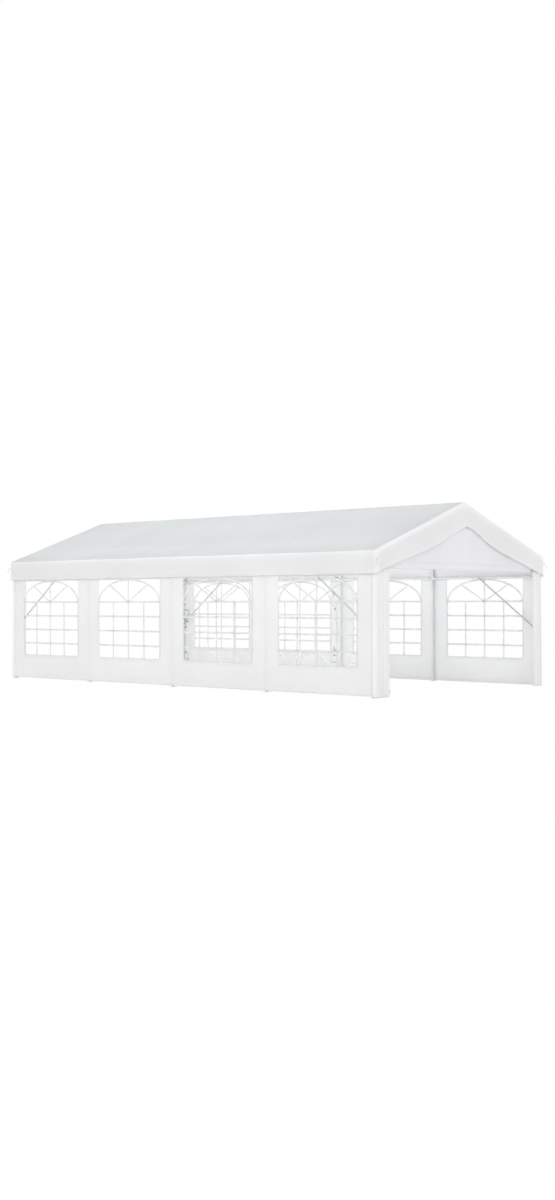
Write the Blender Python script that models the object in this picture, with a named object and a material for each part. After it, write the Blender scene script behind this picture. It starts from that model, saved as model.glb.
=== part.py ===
"""Gable-roofed party marquee, 8 m by 4 m: a push-together steel tube frame with a sheet cover.

Frame of reference: metres, +Z up, origin on the ground at the middle of the footprint.
The ridge runs along Y, and the front doorway faces -Y. Left is -X and right is +X.
Five portal frames stand 2 m apart. Each has two legs, two knee connectors, two rafters
and a ridge connector. Side rails and ridge tubes join the portals, and a flat-ended brace
stiffens each side of both end bays. The cover is a roof with sewn-in gable ends, two side
walls with clear windows, and a pair of tied-back curtain doors at each end.
"""

import math

import bmesh
import bpy
from mathutils import Matrix, Vector

for old in list(bpy.data.objects):
    bpy.data.objects.remove(old)

# ---------------------------------------------------------------- driving dimensions
HALF_W = 1.975          # leg axis, either side of the middle
HALF_L = 4.000          # end portals, either side of the middle
N_PORTALS = 5
BAY = 2 * HALF_L / (N_PORTALS - 1)
PORTAL_Y = [-HALF_L + i * BAY for i in range(N_PORTALS)]

TUBE_R = 0.019          # 38 mm frame tube
TUBE_WALL = 0.0012
SEG = 12                # facets round a tube

RIDGE_Z = 2.740         # top of the roof sheet at the ridge
EAVE_X = 2.038          # outer edge of the roof sheet
EAVE_Z = 1.995
SLOPE = (RIDGE_Z - EAVE_Z) / EAVE_X
AXIS_DROP = 0.028       # rafter axis below the top of the sheet, measured vertically

RAIL_Z = 1.680          # side rail axis
LEG_TOP_Z = 1.585
TUBE_START = 0.030      # a rail or ridge tube starts this far from the node point
RAFTER_START = 0.042

KNEE_NODE_Z = RIDGE_Z - SLOPE * HALF_W - AXIS_DROP
RIDGE_NODE_Z = RIDGE_Z - AXIS_DROP
RAFTER_DIR = Vector((HALF_W, 0.0, RIDGE_NODE_Z - KNEE_NODE_Z)).normalized()
RAFTER_LEN = math.hypot(HALF_W, RIDGE_NODE_Z - KNEE_NODE_Z)

SIDES = (("left", -1), ("right", 1))    # name and sign of X
ENDS = (("front", -1), ("rear", 1))     # name and sign of Y
HALF_TURN = math.pi
SHARP_ANGLE = math.radians(35)          # edges sharper than this are not shaded smooth


# ---------------------------------------------------------------- materials
def material(name, colour, roughness, metallic=0.0):
    mat = bpy.data.materials.new(name)
    mat.use_nodes = True
    shader = mat.node_tree.nodes["Principled BSDF"]
    shader.inputs["Base Color"].default_value = (*colour, 1.0)
    shader.inputs["Roughness"].default_value = roughness
    shader.inputs["Metallic"].default_value = metallic
    return mat


GALV = material("galvanised_tube", colour=(0.62, 0.63, 0.64), roughness=0.42, metallic=0.85)
CONNECTOR = material("connector_steel", colour=(0.55, 0.56, 0.57), roughness=0.48, metallic=0.85)
ROOF_SHEET = material("roof_sheet", colour=(0.90, 0.91, 0.91), roughness=0.55)
WALL_SHEET = material("wall_sheet", colour=(0.93, 0.93, 0.93), roughness=0.55)
DOOR_SHEET = material("door_sheet", colour=(0.93, 0.93, 0.94), roughness=0.55)
ZIP = material("zip_plastic", colour=(0.80, 0.80, 0.80), roughness=0.40)


# ---------------------------------------------------------------- building blocks
def add_object(name, mesh, mat=None):
    obj = bpy.data.objects.new(name, mesh)
    bpy.context.scene.collection.objects.link(obj)
    # Meshes are shared, so only the first user adds the material.
    if mat is not None and not mesh.materials:
        mesh.materials.append(mat)
    return obj


def write_mesh(bm, mesh):
    """Moves bm into mesh and shades it smooth, apart from its sharp edges."""
    bm.to_mesh(mesh)
    bm.free()
    mesh.shade_smooth()
    mesh.set_sharp_from_angle(angle=SHARP_ANGLE)
    return mesh


def mesh_from(bm, name="shape"):
    bmesh.ops.recalc_face_normals(bm, faces=bm.faces)
    return write_mesh(bm, bpy.data.meshes.new(name))


def extrude(bm, faces, shift):
    """Extrudes faces by shift and keeps the originals, which closes the solid."""
    made = bmesh.ops.extrude_face_region(bm, geom=faces, use_keep_orig=True)
    verts = [item for item in made["geom"] if isinstance(item, bmesh.types.BMVert)]
    bmesh.ops.translate(bm, verts=verts, vec=shift)


def cylinders(*rods, seg=SEG):
    """Closed cylinders, each given as (start, end, radius)."""
    bm = bmesh.new()
    for start, end, radius in rods:
        start, end = Vector(start), Vector(end)
        axis = end - start
        turn = axis.to_track_quat("Z", "Y").to_matrix().to_4x4()
        bmesh.ops.create_cone(
            bm, cap_ends=True, segments=seg, radius1=radius, radius2=radius,
            depth=axis.length, matrix=Matrix.Translation((start + end) / 2) @ turn,
        )
    return mesh_from(bm)


def box(*spans):
    """A box from its X, Y and Z spans; the two ends of a span come in either order."""
    low, high = (Vector(corner) for corner in zip(*map(sorted, spans)))
    bm = bmesh.new()
    bmesh.ops.create_cube(
        bm, size=1.0,
        matrix=Matrix.Translation((low + high) / 2) @ Matrix.Diagonal((*(high - low), 1.0)),
    )
    return mesh_from(bm)


# Each turns an outline point (u, v) and a depth into (x, y, z), with the depth along one axis.
def along_x(u, v, depth):
    return depth, u, v


def along_y(u, v, depth):
    return u, depth, v


def along_z(u, v, depth):
    return u, v, depth


def prisms(outlines, depth, place):
    """Flat outlines of (u, v) points, extruded over the (start, end) depth."""
    bm = bmesh.new()
    shift = Vector(place(0, 0, depth[1])) - Vector(place(0, 0, depth[0]))
    for outline in outlines:
        face = bm.faces.new([bm.verts.new(place(u, v, depth[0])) for u, v in outline])
        extrude(bm, [face], shift)
    return mesh_from(bm)


def tube_mesh(name, length):
    """An open-ended frame tube standing on its own origin, along local +Z."""
    bm = bmesh.new()
    bore = TUBE_R - TUBE_WALL
    outer, inner = [], []
    for i in range(SEG):
        angle = 2 * math.pi * i / SEG
        outer.append(bm.verts.new((TUBE_R * math.cos(angle), TUBE_R * math.sin(angle), 0)))
        inner.append(bm.verts.new((bore * math.cos(angle), bore * math.sin(angle), 0)))
    ring = []
    for i in range(SEG):
        after = (i + 1) % SEG
        ring.append(bm.faces.new((outer[i], outer[after], inner[after], inner[i])))
    extrude(bm, ring, (0, 0, length))
    return mesh_from(bm, name)


def boolean_mesh(name, base, unions=(), cuts=()):
    """base with the unions added and then the cuts taken away, returned as one mesh."""
    target = add_object("work_" + name, base)
    helpers = []
    steps = [("UNION", mesh) for mesh in unions] + [("DIFFERENCE", mesh) for mesh in cuts]
    for i, (operation, mesh) in enumerate(steps):
        helper = add_object(f"work_{name}_{i}", mesh)
        helper.hide_render = True
        helper.display_type = "WIRE"
        helpers.append(helper)
        mod = target.modifiers.new(f"step_{i}", "BOOLEAN")
        mod.operation = operation
        mod.solver = "EXACT"
        mod.object = helper
    bpy.context.view_layer.update()
    graph = bpy.context.evaluated_depsgraph_get()
    mesh = bpy.data.meshes.new_from_object(target.evaluated_get(graph))
    mesh.name = name
    mesh.materials.clear()
    for obj in [target, *helpers]:
        bpy.data.objects.remove(obj)
    # Clean away the slivers that the booleans leave.
    bm = bmesh.new()
    bm.from_mesh(mesh)
    bmesh.ops.remove_doubles(bm, verts=bm.verts, dist=0.00001)
    bmesh.ops.dissolve_degenerate(bm, dist=0.000005, edges=bm.edges)
    return write_mesh(bm, mesh)


# ---------------------------------------------------------------- legs with welded foot plates
FOOT = 0.100            # square foot plate
FOOT_T = 0.004
COLLAR_TOP_Z = 0.028    # welded collar round the foot of the tube
COLLAR_T = 0.003
HOLLOW_TOP_Z = 0.060    # the tube bore is cleared up to here
PEG_HOLE_R = 0.0055
PEG_HOLE_INSET = 0.015  # from the edges of the plate


def leg_mesh():
    """One leg with its origin on the ground: a tube standing on a drilled plate."""
    tube_z = FOOT_T / 2     # the tube is sunk half way into the plate
    tube = tube_mesh("leg_tube", LEG_TOP_Z - tube_z)
    tube.transform(Matrix.Translation((0, 0, tube_z)))
    plate = box((-FOOT / 2, FOOT / 2), (-FOOT / 2, FOOT / 2), (0, FOOT_T))
    collar = cylinders(((0, 0, tube_z + 0.0005), (0, 0, COLLAR_TOP_Z), TUBE_R + COLLAR_T))
    hollow = cylinders(((0, 0, FOOT_T + 0.001), (0, 0, HOLLOW_TOP_Z), TUBE_R - TUBE_WALL))
    hole_at = FOOT / 2 - PEG_HOLE_INSET
    holes = cylinders(*[
        ((x, y, -0.01), (x, y, 0.02), PEG_HOLE_R)
        for x in (-hole_at, hole_at) for y in (-hole_at, hole_at)
    ], seg=6)
    return boolean_mesh("leg", tube, unions=[plate, collar], cuts=[hollow, holes])


leg = leg_mesh()
for side, side_sign in SIDES:
    for i, y in enumerate(PORTAL_Y):
        add_object(f"leg_{side}_{i + 1}", leg, GALV).location = (side_sign * HALF_W, y, 0)


# ---------------------------------------------------------------- connector sleeves and sockets
SLEEVE_R = 0.0225       # connector tube, outside
SLEEVE_BORE = 0.0198    # connector tube, radius of the bore that a frame tube enters
SLEEVE_STEP = 0.0001    # joined sleeves differ by this in radius, so no surfaces coincide
RAIL_REACH = 0.100      # connector stub lengths from the node point
RAFTER_REACH = 0.130
TUBE_GAP = 0.002        # between the end of a frame tube and the end of its bore
BORE_OVERRUN = 0.01     # bores run this far out of the sleeve mouth, for a clean cut


def sleeve(node, direction, reach, radius, back=0.0):
    """A connector limb from a little behind the node point out to its reach."""
    return cylinders((node - direction * back, node + direction * reach, radius))


def socket_bore(node, direction, tube_start, reach):
    """The (start, end, radius) of a bore that takes a frame tube."""
    return (
        node + direction * (tube_start - TUBE_GAP),
        node + direction * (reach + BORE_OVERRUN),
        SLEEVE_BORE,
    )


# ---------------------------------------------------------------- knee connectors
KNEE_BOTTOM_Z = 1.500
KNEE_CAP = 0.006        # upright above the node point
KNEE_BACK = 0.012       # rafter sleeve behind the node point
CORE_LAP = 0.005        # the narrow core starts this far below the top of the leg
CORE_ABOVE_RAIL = 0.245
CORE_R = SLEEVE_BORE - 0.003


def knee_mesh(name, rail_signs):
    """Knee with its origin on the leg axis at ground level, rafter socket towards +X.

    rail_signs lists the Y directions that have a side rail socket.
    """
    top = Vector((0, 0, KNEE_NODE_Z))
    rail_node = Vector((0, 0, RAIL_Z))
    rail_dirs = [Vector((0, sign, 0)) for sign in rail_signs]

    upright = cylinders(((0, 0, KNEE_BOTTOM_Z), top + Vector((0, 0, KNEE_CAP)), SLEEVE_R))
    limbs = [sleeve(top, RAFTER_DIR, RAFTER_REACH, SLEEVE_R - SLEEVE_STEP, back=KNEE_BACK)]
    for direction in rail_dirs:
        limbs.append(sleeve(rail_node, direction, RAIL_REACH, SLEEVE_R - 2 * SLEEVE_STEP))

    bores = cylinders(
        ((0, 0, KNEE_BOTTOM_Z - BORE_OVERRUN), (0, 0, LEG_TOP_Z + TUBE_GAP), SLEEVE_BORE),
        *[socket_bore(rail_node, direction, TUBE_START, RAIL_REACH) for direction in rail_dirs],
        socket_bore(top, RAFTER_DIR, RAFTER_START, RAFTER_REACH),
    )
    # The upright stays hollow above the leg, with a step that stops the leg.
    core = cylinders(
        ((0, 0, LEG_TOP_Z - CORE_LAP), (0, 0, RAIL_Z + CORE_ABOVE_RAIL), CORE_R)
    )
    return boolean_mesh(name, upright, unions=limbs, cuts=[bores, core])


knee_mid = knee_mesh("knee_mid", (-1, 1))
knee_plus_y = knee_mesh("knee_plus_y", (1,))
knee_minus_y = knee_mesh("knee_minus_y", (-1,))
for side, side_sign in SIDES:
    for i, y in enumerate(PORTAL_Y):
        # The right row is turned half way round, which swaps the two end knees.
        if 0 < i < N_PORTALS - 1:
            mesh = knee_mid
        elif (i == 0) == (side_sign < 0):
            mesh = knee_plus_y
        else:
            mesh = knee_minus_y
        knee = add_object(f"knee_connector_{side}_{i + 1}", mesh, CONNECTOR)
        knee.location = (side_sign * HALF_W, y, 0)
        if side_sign > 0:
            knee.rotation_euler = (0, 0, HALF_TURN)


# ---------------------------------------------------------------- ridge connectors
RIDGE_LIMB_BACK = 0.008     # rafter sleeves and ridge stubs behind the node point
RIDGE_STUB_BACK = 0.012


def ridge_mesh(name, stub_signs):
    """Ridge connector with its origin on the node point and a rafter socket down each slope.

    stub_signs lists the Y directions that have a ridge tube socket.
    """
    node = Vector((0, 0, 0))
    slopes = [Vector((sign * RAFTER_DIR.x, 0, -RAFTER_DIR.z)) for sign in (-1, 1)]
    stub_dirs = [Vector((0, sign, 0)) for sign in stub_signs]

    left_limb, right_limb = (
        sleeve(node, direction, RAFTER_REACH, radius, back=RIDGE_LIMB_BACK)
        for direction, radius in zip(slopes, (SLEEVE_R, SLEEVE_R - SLEEVE_STEP))
    )
    stubs = []
    for direction in stub_dirs:
        steps = 4 if direction.y > 0 else 3
        radius = SLEEVE_R - steps * SLEEVE_STEP
        stubs.append(sleeve(node, direction, RAIL_REACH, radius, back=RIDGE_STUB_BACK))
    bores = cylinders(
        *[socket_bore(node, direction, RAFTER_START, RAFTER_REACH) for direction in slopes],
        *[socket_bore(node, direction, TUBE_START, RAIL_REACH) for direction in stub_dirs],
    )
    return boolean_mesh(name, left_limb, unions=[right_limb, *stubs], cuts=[bores])


ridge_mid = ridge_mesh("ridge_mid", (-1, 1))
ridge_end = ridge_mesh("ridge_end", (1,))
for i, y in enumerate(PORTAL_Y):
    mesh = ridge_mid if 0 < i < N_PORTALS - 1 else ridge_end
    ridge = add_object(f"ridge_connector_{i + 1}", mesh, CONNECTOR)
    ridge.location = (0, y, RIDGE_NODE_Z)
    if i == N_PORTALS - 1:
        ridge.rotation_euler = (0, 0, HALF_TURN)


# ---------------------------------------------------------------- rafters, rails, ridge tubes
def lay_tube(name, mesh, start, direction):
    """Adds a tube so that its local +Z runs along direction from start."""
    obj = add_object(name, mesh, GALV)
    obj.location = Vector(start)
    obj.rotation_mode = "QUATERNION"
    obj.rotation_quaternion = Vector(direction).to_track_quat("Z", "Y")


rafter = tube_mesh("rafter_tube", RAFTER_LEN - 2 * RAFTER_START)
rail = tube_mesh("rail_tube", BAY - 2 * TUBE_START)
for side, side_sign in SIDES:
    up_slope = Vector((-side_sign * RAFTER_DIR.x, 0, RAFTER_DIR.z))
    for i, y in enumerate(PORTAL_Y):
        knee_node = Vector((side_sign * HALF_W, y, KNEE_NODE_Z))
        start = knee_node + up_slope * RAFTER_START
        lay_tube(f"rafter_{side}_{i + 1}", rafter, start, up_slope)
    for i, y in enumerate(PORTAL_Y[:-1]):
        start = (side_sign * HALF_W, y + TUBE_START, RAIL_Z)
        lay_tube(f"side_rail_{side}_{i + 1}", rail, start, (0, 1, 0))
for i, y in enumerate(PORTAL_Y[:-1]):
    lay_tube(f"ridge_tube_{i + 1}", rail, (0, y + TUBE_START, RIDGE_NODE_Z), (0, 1, 0))


# ---------------------------------------------------------------- braces
BRACE_R = 0.0125
BRACE_X = 1.9535        # mid-plane of the flattened brace ends
BRACE_TOP_Y = 2.930     # upper bolt, at side rail height
BRACE_FOOT_Z = 0.875    # lower bolt, on the corner leg
BRACE_OVER = 0.016      # metal beyond each bolt
BRACE_FLAT = 0.030      # the flat ends and the round starts this far from the bolt
BRACE_NECK = 0.060
BRACE_HOLE_R = 0.0035


def brace_mesh():
    """A tube with flattened, drilled ends: local Z along it, local X across the flats."""
    run = math.hypot(HALF_L - BRACE_TOP_Y, RAIL_Z - BRACE_FOOT_Z)
    # Stations: z, half width (local Y), half thickness (local X).
    stations = [
        (-BRACE_OVER, 0.0100, 0.0020),
        (-BRACE_OVER + 0.005, 0.0150, 0.0020),
        (BRACE_FLAT, 0.0160, 0.0020),
        (BRACE_NECK, BRACE_R, BRACE_R),
        (run - BRACE_NECK, BRACE_R, BRACE_R),
        (run - BRACE_FLAT, 0.0160, 0.0020),
        (run + BRACE_OVER - 0.005, 0.0150, 0.0020),
        (run + BRACE_OVER, 0.0100, 0.0020),
    ]
    bm = bmesh.new()
    loops = []
    for z, wide, thick in stations:
        verts = []
        for k in range(SEG):
            angle = 2 * math.pi * (k + 0.5) / SEG
            verts.append(bm.verts.new((thick * math.cos(angle), wide * math.sin(angle), z)))
        loops.append([bm.edges.new((verts[k], verts[(k + 1) % SEG])) for k in range(SEG)])
        if z in (stations[0][0], stations[-1][0]):
            bm.faces.new(verts)
    for lower, upper in zip(loops, loops[1:]):
        bmesh.ops.bridge_loops(bm, edges=lower + upper)
    body = mesh_from(bm)
    holes = cylinders(
        *[((-0.01, 0, z), (0.01, 0, z), BRACE_HOLE_R) for z in (0.0, run)], seg=8
    )
    return boolean_mesh("brace", body, cuts=[holes])


brace = brace_mesh()
for side, side_sign in SIDES:
    for end, end_sign in ENDS:
        low = Vector((side_sign * BRACE_X, end_sign * HALF_L, BRACE_FOOT_Z))
        high = Vector((side_sign * BRACE_X, end_sign * BRACE_TOP_Y, RAIL_Z))
        along = (high - low).normalized()
        across = Vector((1, 0, 0))
        turn = Matrix((across, along.cross(across), along)).transposed()
        obj = add_object(f"brace_{end}_{side}", brace, GALV)
        obj.location = low
        obj.rotation_euler = turn.to_euler()


# ---------------------------------------------------------------- roof with sewn-in gable ends
SHEET = 0.0015          # sheet thickness as modelled
ROOF_END_Y = 4.092
VALANCE = 0.315         # drop of the side and end valances
VALANCE_DIP = 0.02      # extra drop of the end valance at the middle
GABLE_Y = 4.0345        # mid-plane of the sewn-in gable end
GABLE_X = 1.995
GABLE_HEM_Z = 1.750
SEAM_DROP = 0.0008      # end sheets stop this far below the roof's top face, inside the sheet
VALANCE_INSET = 0.0006  # end valance inside the roof's outer edge
VALANCE_LIFT = 0.0005   # end valance corners above the side valance hem


def roof_line(x, drop):
    return RIDGE_Z - SLOPE * abs(x) - drop


def end_sheet(mid_y, half_width, foot_z, hem=()):
    """An upright sheet under the roof line; hem lists extra (x, z) points of its lower edge."""
    outline = [
        (-half_width, foot_z), (-half_width, roof_line(half_width, SEAM_DROP)),
        (0, roof_line(0, SEAM_DROP)),
        (half_width, roof_line(half_width, SEAM_DROP)), (half_width, foot_z),
        *hem,
    ]
    return prisms([outline], (mid_y - SHEET / 2, mid_y + SHEET / 2), along_y)


def roof_mesh():
    low = EAVE_Z - VALANCE
    inner_x = EAVE_X - SHEET
    inner_z = roof_line(inner_x, SHEET)
    # Section of both slopes and both side valances, run the length of the roof.
    section = [
        (-EAVE_X, low), (-EAVE_X, EAVE_Z), (0, RIDGE_Z), (EAVE_X, EAVE_Z), (EAVE_X, low),
        (inner_x, low), (inner_x, inner_z), (0, RIDGE_Z - SHEET),
        (-inner_x, inner_z), (-inner_x, low),
    ]
    shell = prisms([section], (-ROOF_END_Y, ROOF_END_Y), along_y)
    dip = (0, RIDGE_Z - VALANCE - VALANCE_DIP)
    valances = [
        end_sheet(sign * ROOF_END_Y, EAVE_X - VALANCE_INSET, low + VALANCE_LIFT, hem=[dip])
        for _, sign in ENDS
    ]
    gables = [end_sheet(sign * GABLE_Y, GABLE_X, GABLE_HEM_Z) for _, sign in ENDS]
    return boolean_mesh("roof", shell, unions=valances + gables)


add_object("roof_cover", roof_mesh(), ROOF_SHEET)


# ---------------------------------------------------------------- side walls with windows
WALL_X0, WALL_X1 = 1.999, 2.0005    # inner and outer face
WALL_HALF_L = 4.027
WALL_Z0, WALL_Z1 = 0.020, 1.960
WALL_RETURN = 0.050     # strip of wall folded round the corner leg
FILM_T = 0.0005         # clear film left at the back of each window recess
WIN_HALF = 0.735
WIN_SPRING = 1.305      # where the arch starts
WIN_Z1 = 1.668          # square head of the window
WIN_ROWS = (0.405, 0.612, 0.843, 1.074, WIN_SPRING)     # sill, then glazing bar heights
WIN_COLS = 4
BAR = 0.020             # width of a glazing bar
SPOKE_DEG = (0, 34, 90, 146, 180)   # sunburst spokes, up from +Y
SECTOR_STEPS = 4        # straight steps along the arc of a sunburst pane
SPANDREL_DEG = (24, 76)             # ends of the spandrel's arc
SPANDREL_STEPS = 5


def ellipse_hit(origin, direction, radius_y, radius_z):
    """Where the line origin + t * direction leaves the ellipse y²/ry² + z²/rz² = 1."""
    quad_a = (direction[0] / radius_y) ** 2 + (direction[1] / radius_z) ** 2
    quad_b = 2 * (
        origin[0] * direction[0] / radius_y ** 2 + origin[1] * direction[1] / radius_z ** 2
    )
    quad_c = (origin[0] / radius_y) ** 2 + (origin[1] / radius_z) ** 2 - 1
    t = (-quad_b + math.sqrt(quad_b * quad_b - 4 * quad_a * quad_c)) / (2 * quad_a)
    return origin[0] + t * direction[0], origin[1] + t * direction[1]


def grid_panes():
    """Rectangular panes below the spring line."""
    half_bar = BAR / 2
    cols = [-WIN_HALF + k * WIN_HALF / 2 for k in range(WIN_COLS + 1)]
    panes = []
    for left, right in zip(cols, cols[1:]):
        for row, (bottom, top) in enumerate(zip(WIN_ROWS, WIN_ROWS[1:])):
            y0 = left + half_bar
            y1 = right - half_bar
            z0 = bottom + (half_bar if row else 0)
            z1 = top - half_bar
            panes.append([(y0, z0), (y1, z0), (y1, z1), (y0, z1)])
    return panes


def sunburst_panes():
    """Sectors between the spokes, above the spring line."""
    half_bar = BAR / 2
    radius_y = WIN_HALF - half_bar
    radius_z = WIN_Z1 - WIN_SPRING - 2 * half_bar
    spokes = [math.radians(degrees) for degrees in SPOKE_DEG]
    panes = []
    for angle0, angle1 in zip(spokes, spokes[1:]):
        middle, half = (angle0 + angle1) / 2, (angle1 - angle0) / 2
        hub = half_bar / math.sin(half)
        # The two straight sides run half a bar inside their spokes.
        ends = []
        for angle, offset in ((angle0, half_bar), (angle1, -half_bar)):
            origin = (-offset * math.sin(angle), offset * math.cos(angle))
            direction = (math.cos(angle), math.sin(angle))
            y, z = ellipse_hit(origin, direction, radius_y, radius_z)
            ends.append(math.atan2(z / radius_z, y / radius_y))
        points = [(hub * math.cos(middle), hub * math.sin(middle))]
        for k in range(SECTOR_STEPS + 1):
            t = ends[0] + (ends[1] - ends[0]) * k / SECTOR_STEPS
            points.append((radius_y * math.cos(t), radius_z * math.sin(t)))
        panes.append([(y, WIN_SPRING + z) for y, z in points])
    return panes


def spandrel_panes():
    """Corners between the arch and the square head of the window."""
    rise = WIN_Z1 - WIN_SPRING
    first, last = SPANDREL_DEG
    panes = []
    for sign in (-1, 1):
        arc = []
        for k in range(SPANDREL_STEPS + 1):
            t = math.radians(first + (last - first) * k / SPANDREL_STEPS)
            arc.append((sign * WIN_HALF * math.cos(t), rise * math.sin(t)))
        edge = sign * WIN_HALF
        points = [(edge, arc[0][1]), *arc, (arc[-1][0], rise), (edge, rise)]
        panes.append([(y, WIN_SPRING + z) for y, z in points])
    return panes


def side_wall_mesh():
    """The right-hand wall. Recesses in the outer face leave clear film between the bars."""
    # One channel section: the wall and the strips folded round the corner legs.
    thick = WALL_X1 - WALL_X0
    lip = WALL_X1 - WALL_RETURN
    end = WALL_HALF_L
    section = [
        (WALL_X1, -end), (WALL_X1, end), (lip, end), (lip, end - thick),
        (WALL_X0, end - thick), (WALL_X0, -end + thick), (lip, -end + thick), (lip, -end),
    ]
    plate = prisms([section], (WALL_Z0, WALL_Z1), along_z)

    panes = grid_panes() + sunburst_panes() + spandrel_panes()
    outlines = []
    for y0, y1 in zip(PORTAL_Y, PORTAL_Y[1:]):
        middle = (y0 + y1) / 2
        outlines += [[(middle + y, z) for y, z in pane] for pane in panes]
    recesses = prisms(outlines, (WALL_X0 + FILM_T, WALL_X1 + 0.004), along_x)
    return boolean_mesh("side_wall", plate, cuts=[recesses])


wall = side_wall_mesh()
add_object("side_wall_right", wall, WALL_SHEET)
add_object("side_wall_left", wall, WALL_SHEET).rotation_euler = (0, 0, HALF_TURN)


# ---------------------------------------------------------------- curtain doors
# Tied-back curtain: outer side, inner side and zip tape edge, as distances from the middle.
# The right-hand leaves are drawn further back.
DOOR_X = {"left": (2.020, 1.745, 1.720), "right": (2.028, 1.795, 1.770)}
DOOR_Y_MID, DOOR_DEPTH = 4.0645, 0.045
DOOR_Z0, DOOR_Z1 = 0.020, 1.850
PLEATS = 6
CURTAIN_T = 0.0030      # a pleat is several layers of sheet lying together
FOLD_HALF = 0.0035      # half the flat at the crest of a fold
FOLD_MARGIN = 0.0012    # folds stop this far inside the door depth


def offset_line(line, distance):
    """The (x, y) line moved sideways by distance, mitred at its bends."""
    points = [Vector(point) for point in line]
    dirs = [(after - here).normalized() for here, after in zip(points, points[1:])]
    moved = []
    for here, before, after in zip(points, [dirs[0], *dirs], [*dirs, dirs[-1]]):
        normal0 = Vector((-before.y, before.x))
        normal1 = Vector((-after.y, after.x))
        bend = (normal0 + normal1).normalized()
        moved.append(here + bend * (distance / max(bend.dot(normal0), 0.5)))
    return moved


def door_mesh(side, side_sign, end_sign):
    """A curtain folded to and fro, with its zip tape on the side towards the middle."""
    outer, inner, tape = DOOR_X[side]
    swing = (DOOR_DEPTH - CURTAIN_T) / 2 - FOLD_MARGIN
    width = outer - inner
    spine = [(outer, DOOR_Y_MID)]
    for k in range(2 * PLEATS):
        x = outer - width * (k + 0.5) / (2 * PLEATS)
        y = DOOR_Y_MID + (swing if k % 2 else -swing)
        spine += [(x + FOLD_HALF, y), (x - FOLD_HALF, y)]
    spine += [(inner, DOOR_Y_MID), (tape, DOOR_Y_MID)]
    outline = offset_line(spine, CURTAIN_T / 2) + offset_line(spine, -CURTAIN_T / 2)[::-1]
    outline = [(side_sign * point.x, end_sign * point.y) for point in outline]
    return prisms([outline], (DOOR_Z0, DOOR_Z1), along_z)


# ---------------------------------------------------------------- zip sliders
ZIP_Z = 0.070
TAPE_HALF = 0.003 / 2   # half the thickness of the zip tape


def zip_mesh(end_sign):
    """Two cheeks joined by a wedge, and a pull tab. Origin at the tape edge, at its foot."""
    def cheek(sign):
        y_span = (sign * (TAPE_HALF + 0.0005), sign * (TAPE_HALF + 0.0035))
        return box((-0.008, 0.014), y_span, (0, 0.030))

    # The lug and the tab stand on the outward side, away from the tent.
    lug_y = (end_sign * (TAPE_HALF + 0.002), end_sign * (TAPE_HALF + 0.0085))
    tab_y = (end_sign * (TAPE_HALF + 0.0060), end_sign * (TAPE_HALF + 0.0080))
    wedge = box((0.0012, 0.0048), (-TAPE_HALF - 0.002, TAPE_HALF + 0.002), (0.004, 0.026))
    lug = box((0.0000, 0.0060), lug_y, (0.016, 0.024))
    tab = box((-0.0020, 0.0080), tab_y, (-0.022, 0.022))
    return boolean_mesh("zip", cheek(1), unions=[wedge, cheek(-1), lug, tab])


for end, end_sign in ENDS:
    doors = {
        side: add_object(f"door_{end}_{side}", door_mesh(side, side_sign, end_sign), DOOR_SHEET)
        for side, side_sign in SIDES
    }
    zipper = add_object(f"zip_slider_{end}", zip_mesh(end_sign), ZIP)
    zipper.location = (-DOOR_X["left"][2], end_sign * DOOR_Y_MID, ZIP_Z)
    zipper.parent = doors["left"]
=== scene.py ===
"""Gable party marquee: sheets, clear windows, drawn curtains, steel tubes, connectors, cords,
floor, lights and camera.

Metres, +Z up. The ridge lies along Y and the front doorway faces -Y; left is -X, right is +X.
Five portal frames stand along Y, numbered from the front. The four bays lie between them.
"""

import math

import bmesh
import bpy
from mathutils import Matrix, Quaternion, Vector, noise


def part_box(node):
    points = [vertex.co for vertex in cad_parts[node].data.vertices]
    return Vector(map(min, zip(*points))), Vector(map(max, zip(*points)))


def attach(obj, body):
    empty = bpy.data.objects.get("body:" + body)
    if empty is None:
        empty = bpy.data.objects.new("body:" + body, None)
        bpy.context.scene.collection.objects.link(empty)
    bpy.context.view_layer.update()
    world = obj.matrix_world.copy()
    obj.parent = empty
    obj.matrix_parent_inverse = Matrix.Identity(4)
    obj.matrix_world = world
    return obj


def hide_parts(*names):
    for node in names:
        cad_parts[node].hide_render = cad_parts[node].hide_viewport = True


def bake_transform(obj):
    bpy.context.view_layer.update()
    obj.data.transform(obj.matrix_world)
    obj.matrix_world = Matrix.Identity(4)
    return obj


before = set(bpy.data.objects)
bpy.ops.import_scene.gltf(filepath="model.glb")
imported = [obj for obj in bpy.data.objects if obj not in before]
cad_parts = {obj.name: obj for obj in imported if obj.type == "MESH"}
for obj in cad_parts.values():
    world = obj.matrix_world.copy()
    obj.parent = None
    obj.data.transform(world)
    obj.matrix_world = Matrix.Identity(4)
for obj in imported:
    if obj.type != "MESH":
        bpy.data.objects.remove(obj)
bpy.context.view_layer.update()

ROOT = "marquee_frame"
SIDES = (("left", -1), ("right", 1))  # name, sign of x
ENDS = (("front", -1), ("rear", 1))  # name, sign of y
CORNERS = [(end, y_dir, side, x_dir) for end, y_dir in ENDS for side, x_dir in SIDES]

# ---------------------------------------------------------------- dimensions from the frame
leg_low, leg_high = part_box("leg_right_5")
HALF_W = (leg_low.x + leg_high.x) / 2  # leg axes
HALF_L = (leg_low.y + leg_high.y) / 2
FOOT = (leg_high.x - leg_low.x) / 2  # half the foot plate
LEG_TOP = leg_high.z
BAY = HALF_L / 2
PORTALS = [-HALF_L + k * BAY for k in range(5)]
BAY_MIDS = [(start + stop) / 2 for start, stop in zip(PORTALS, PORTALS[1:])]

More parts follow.
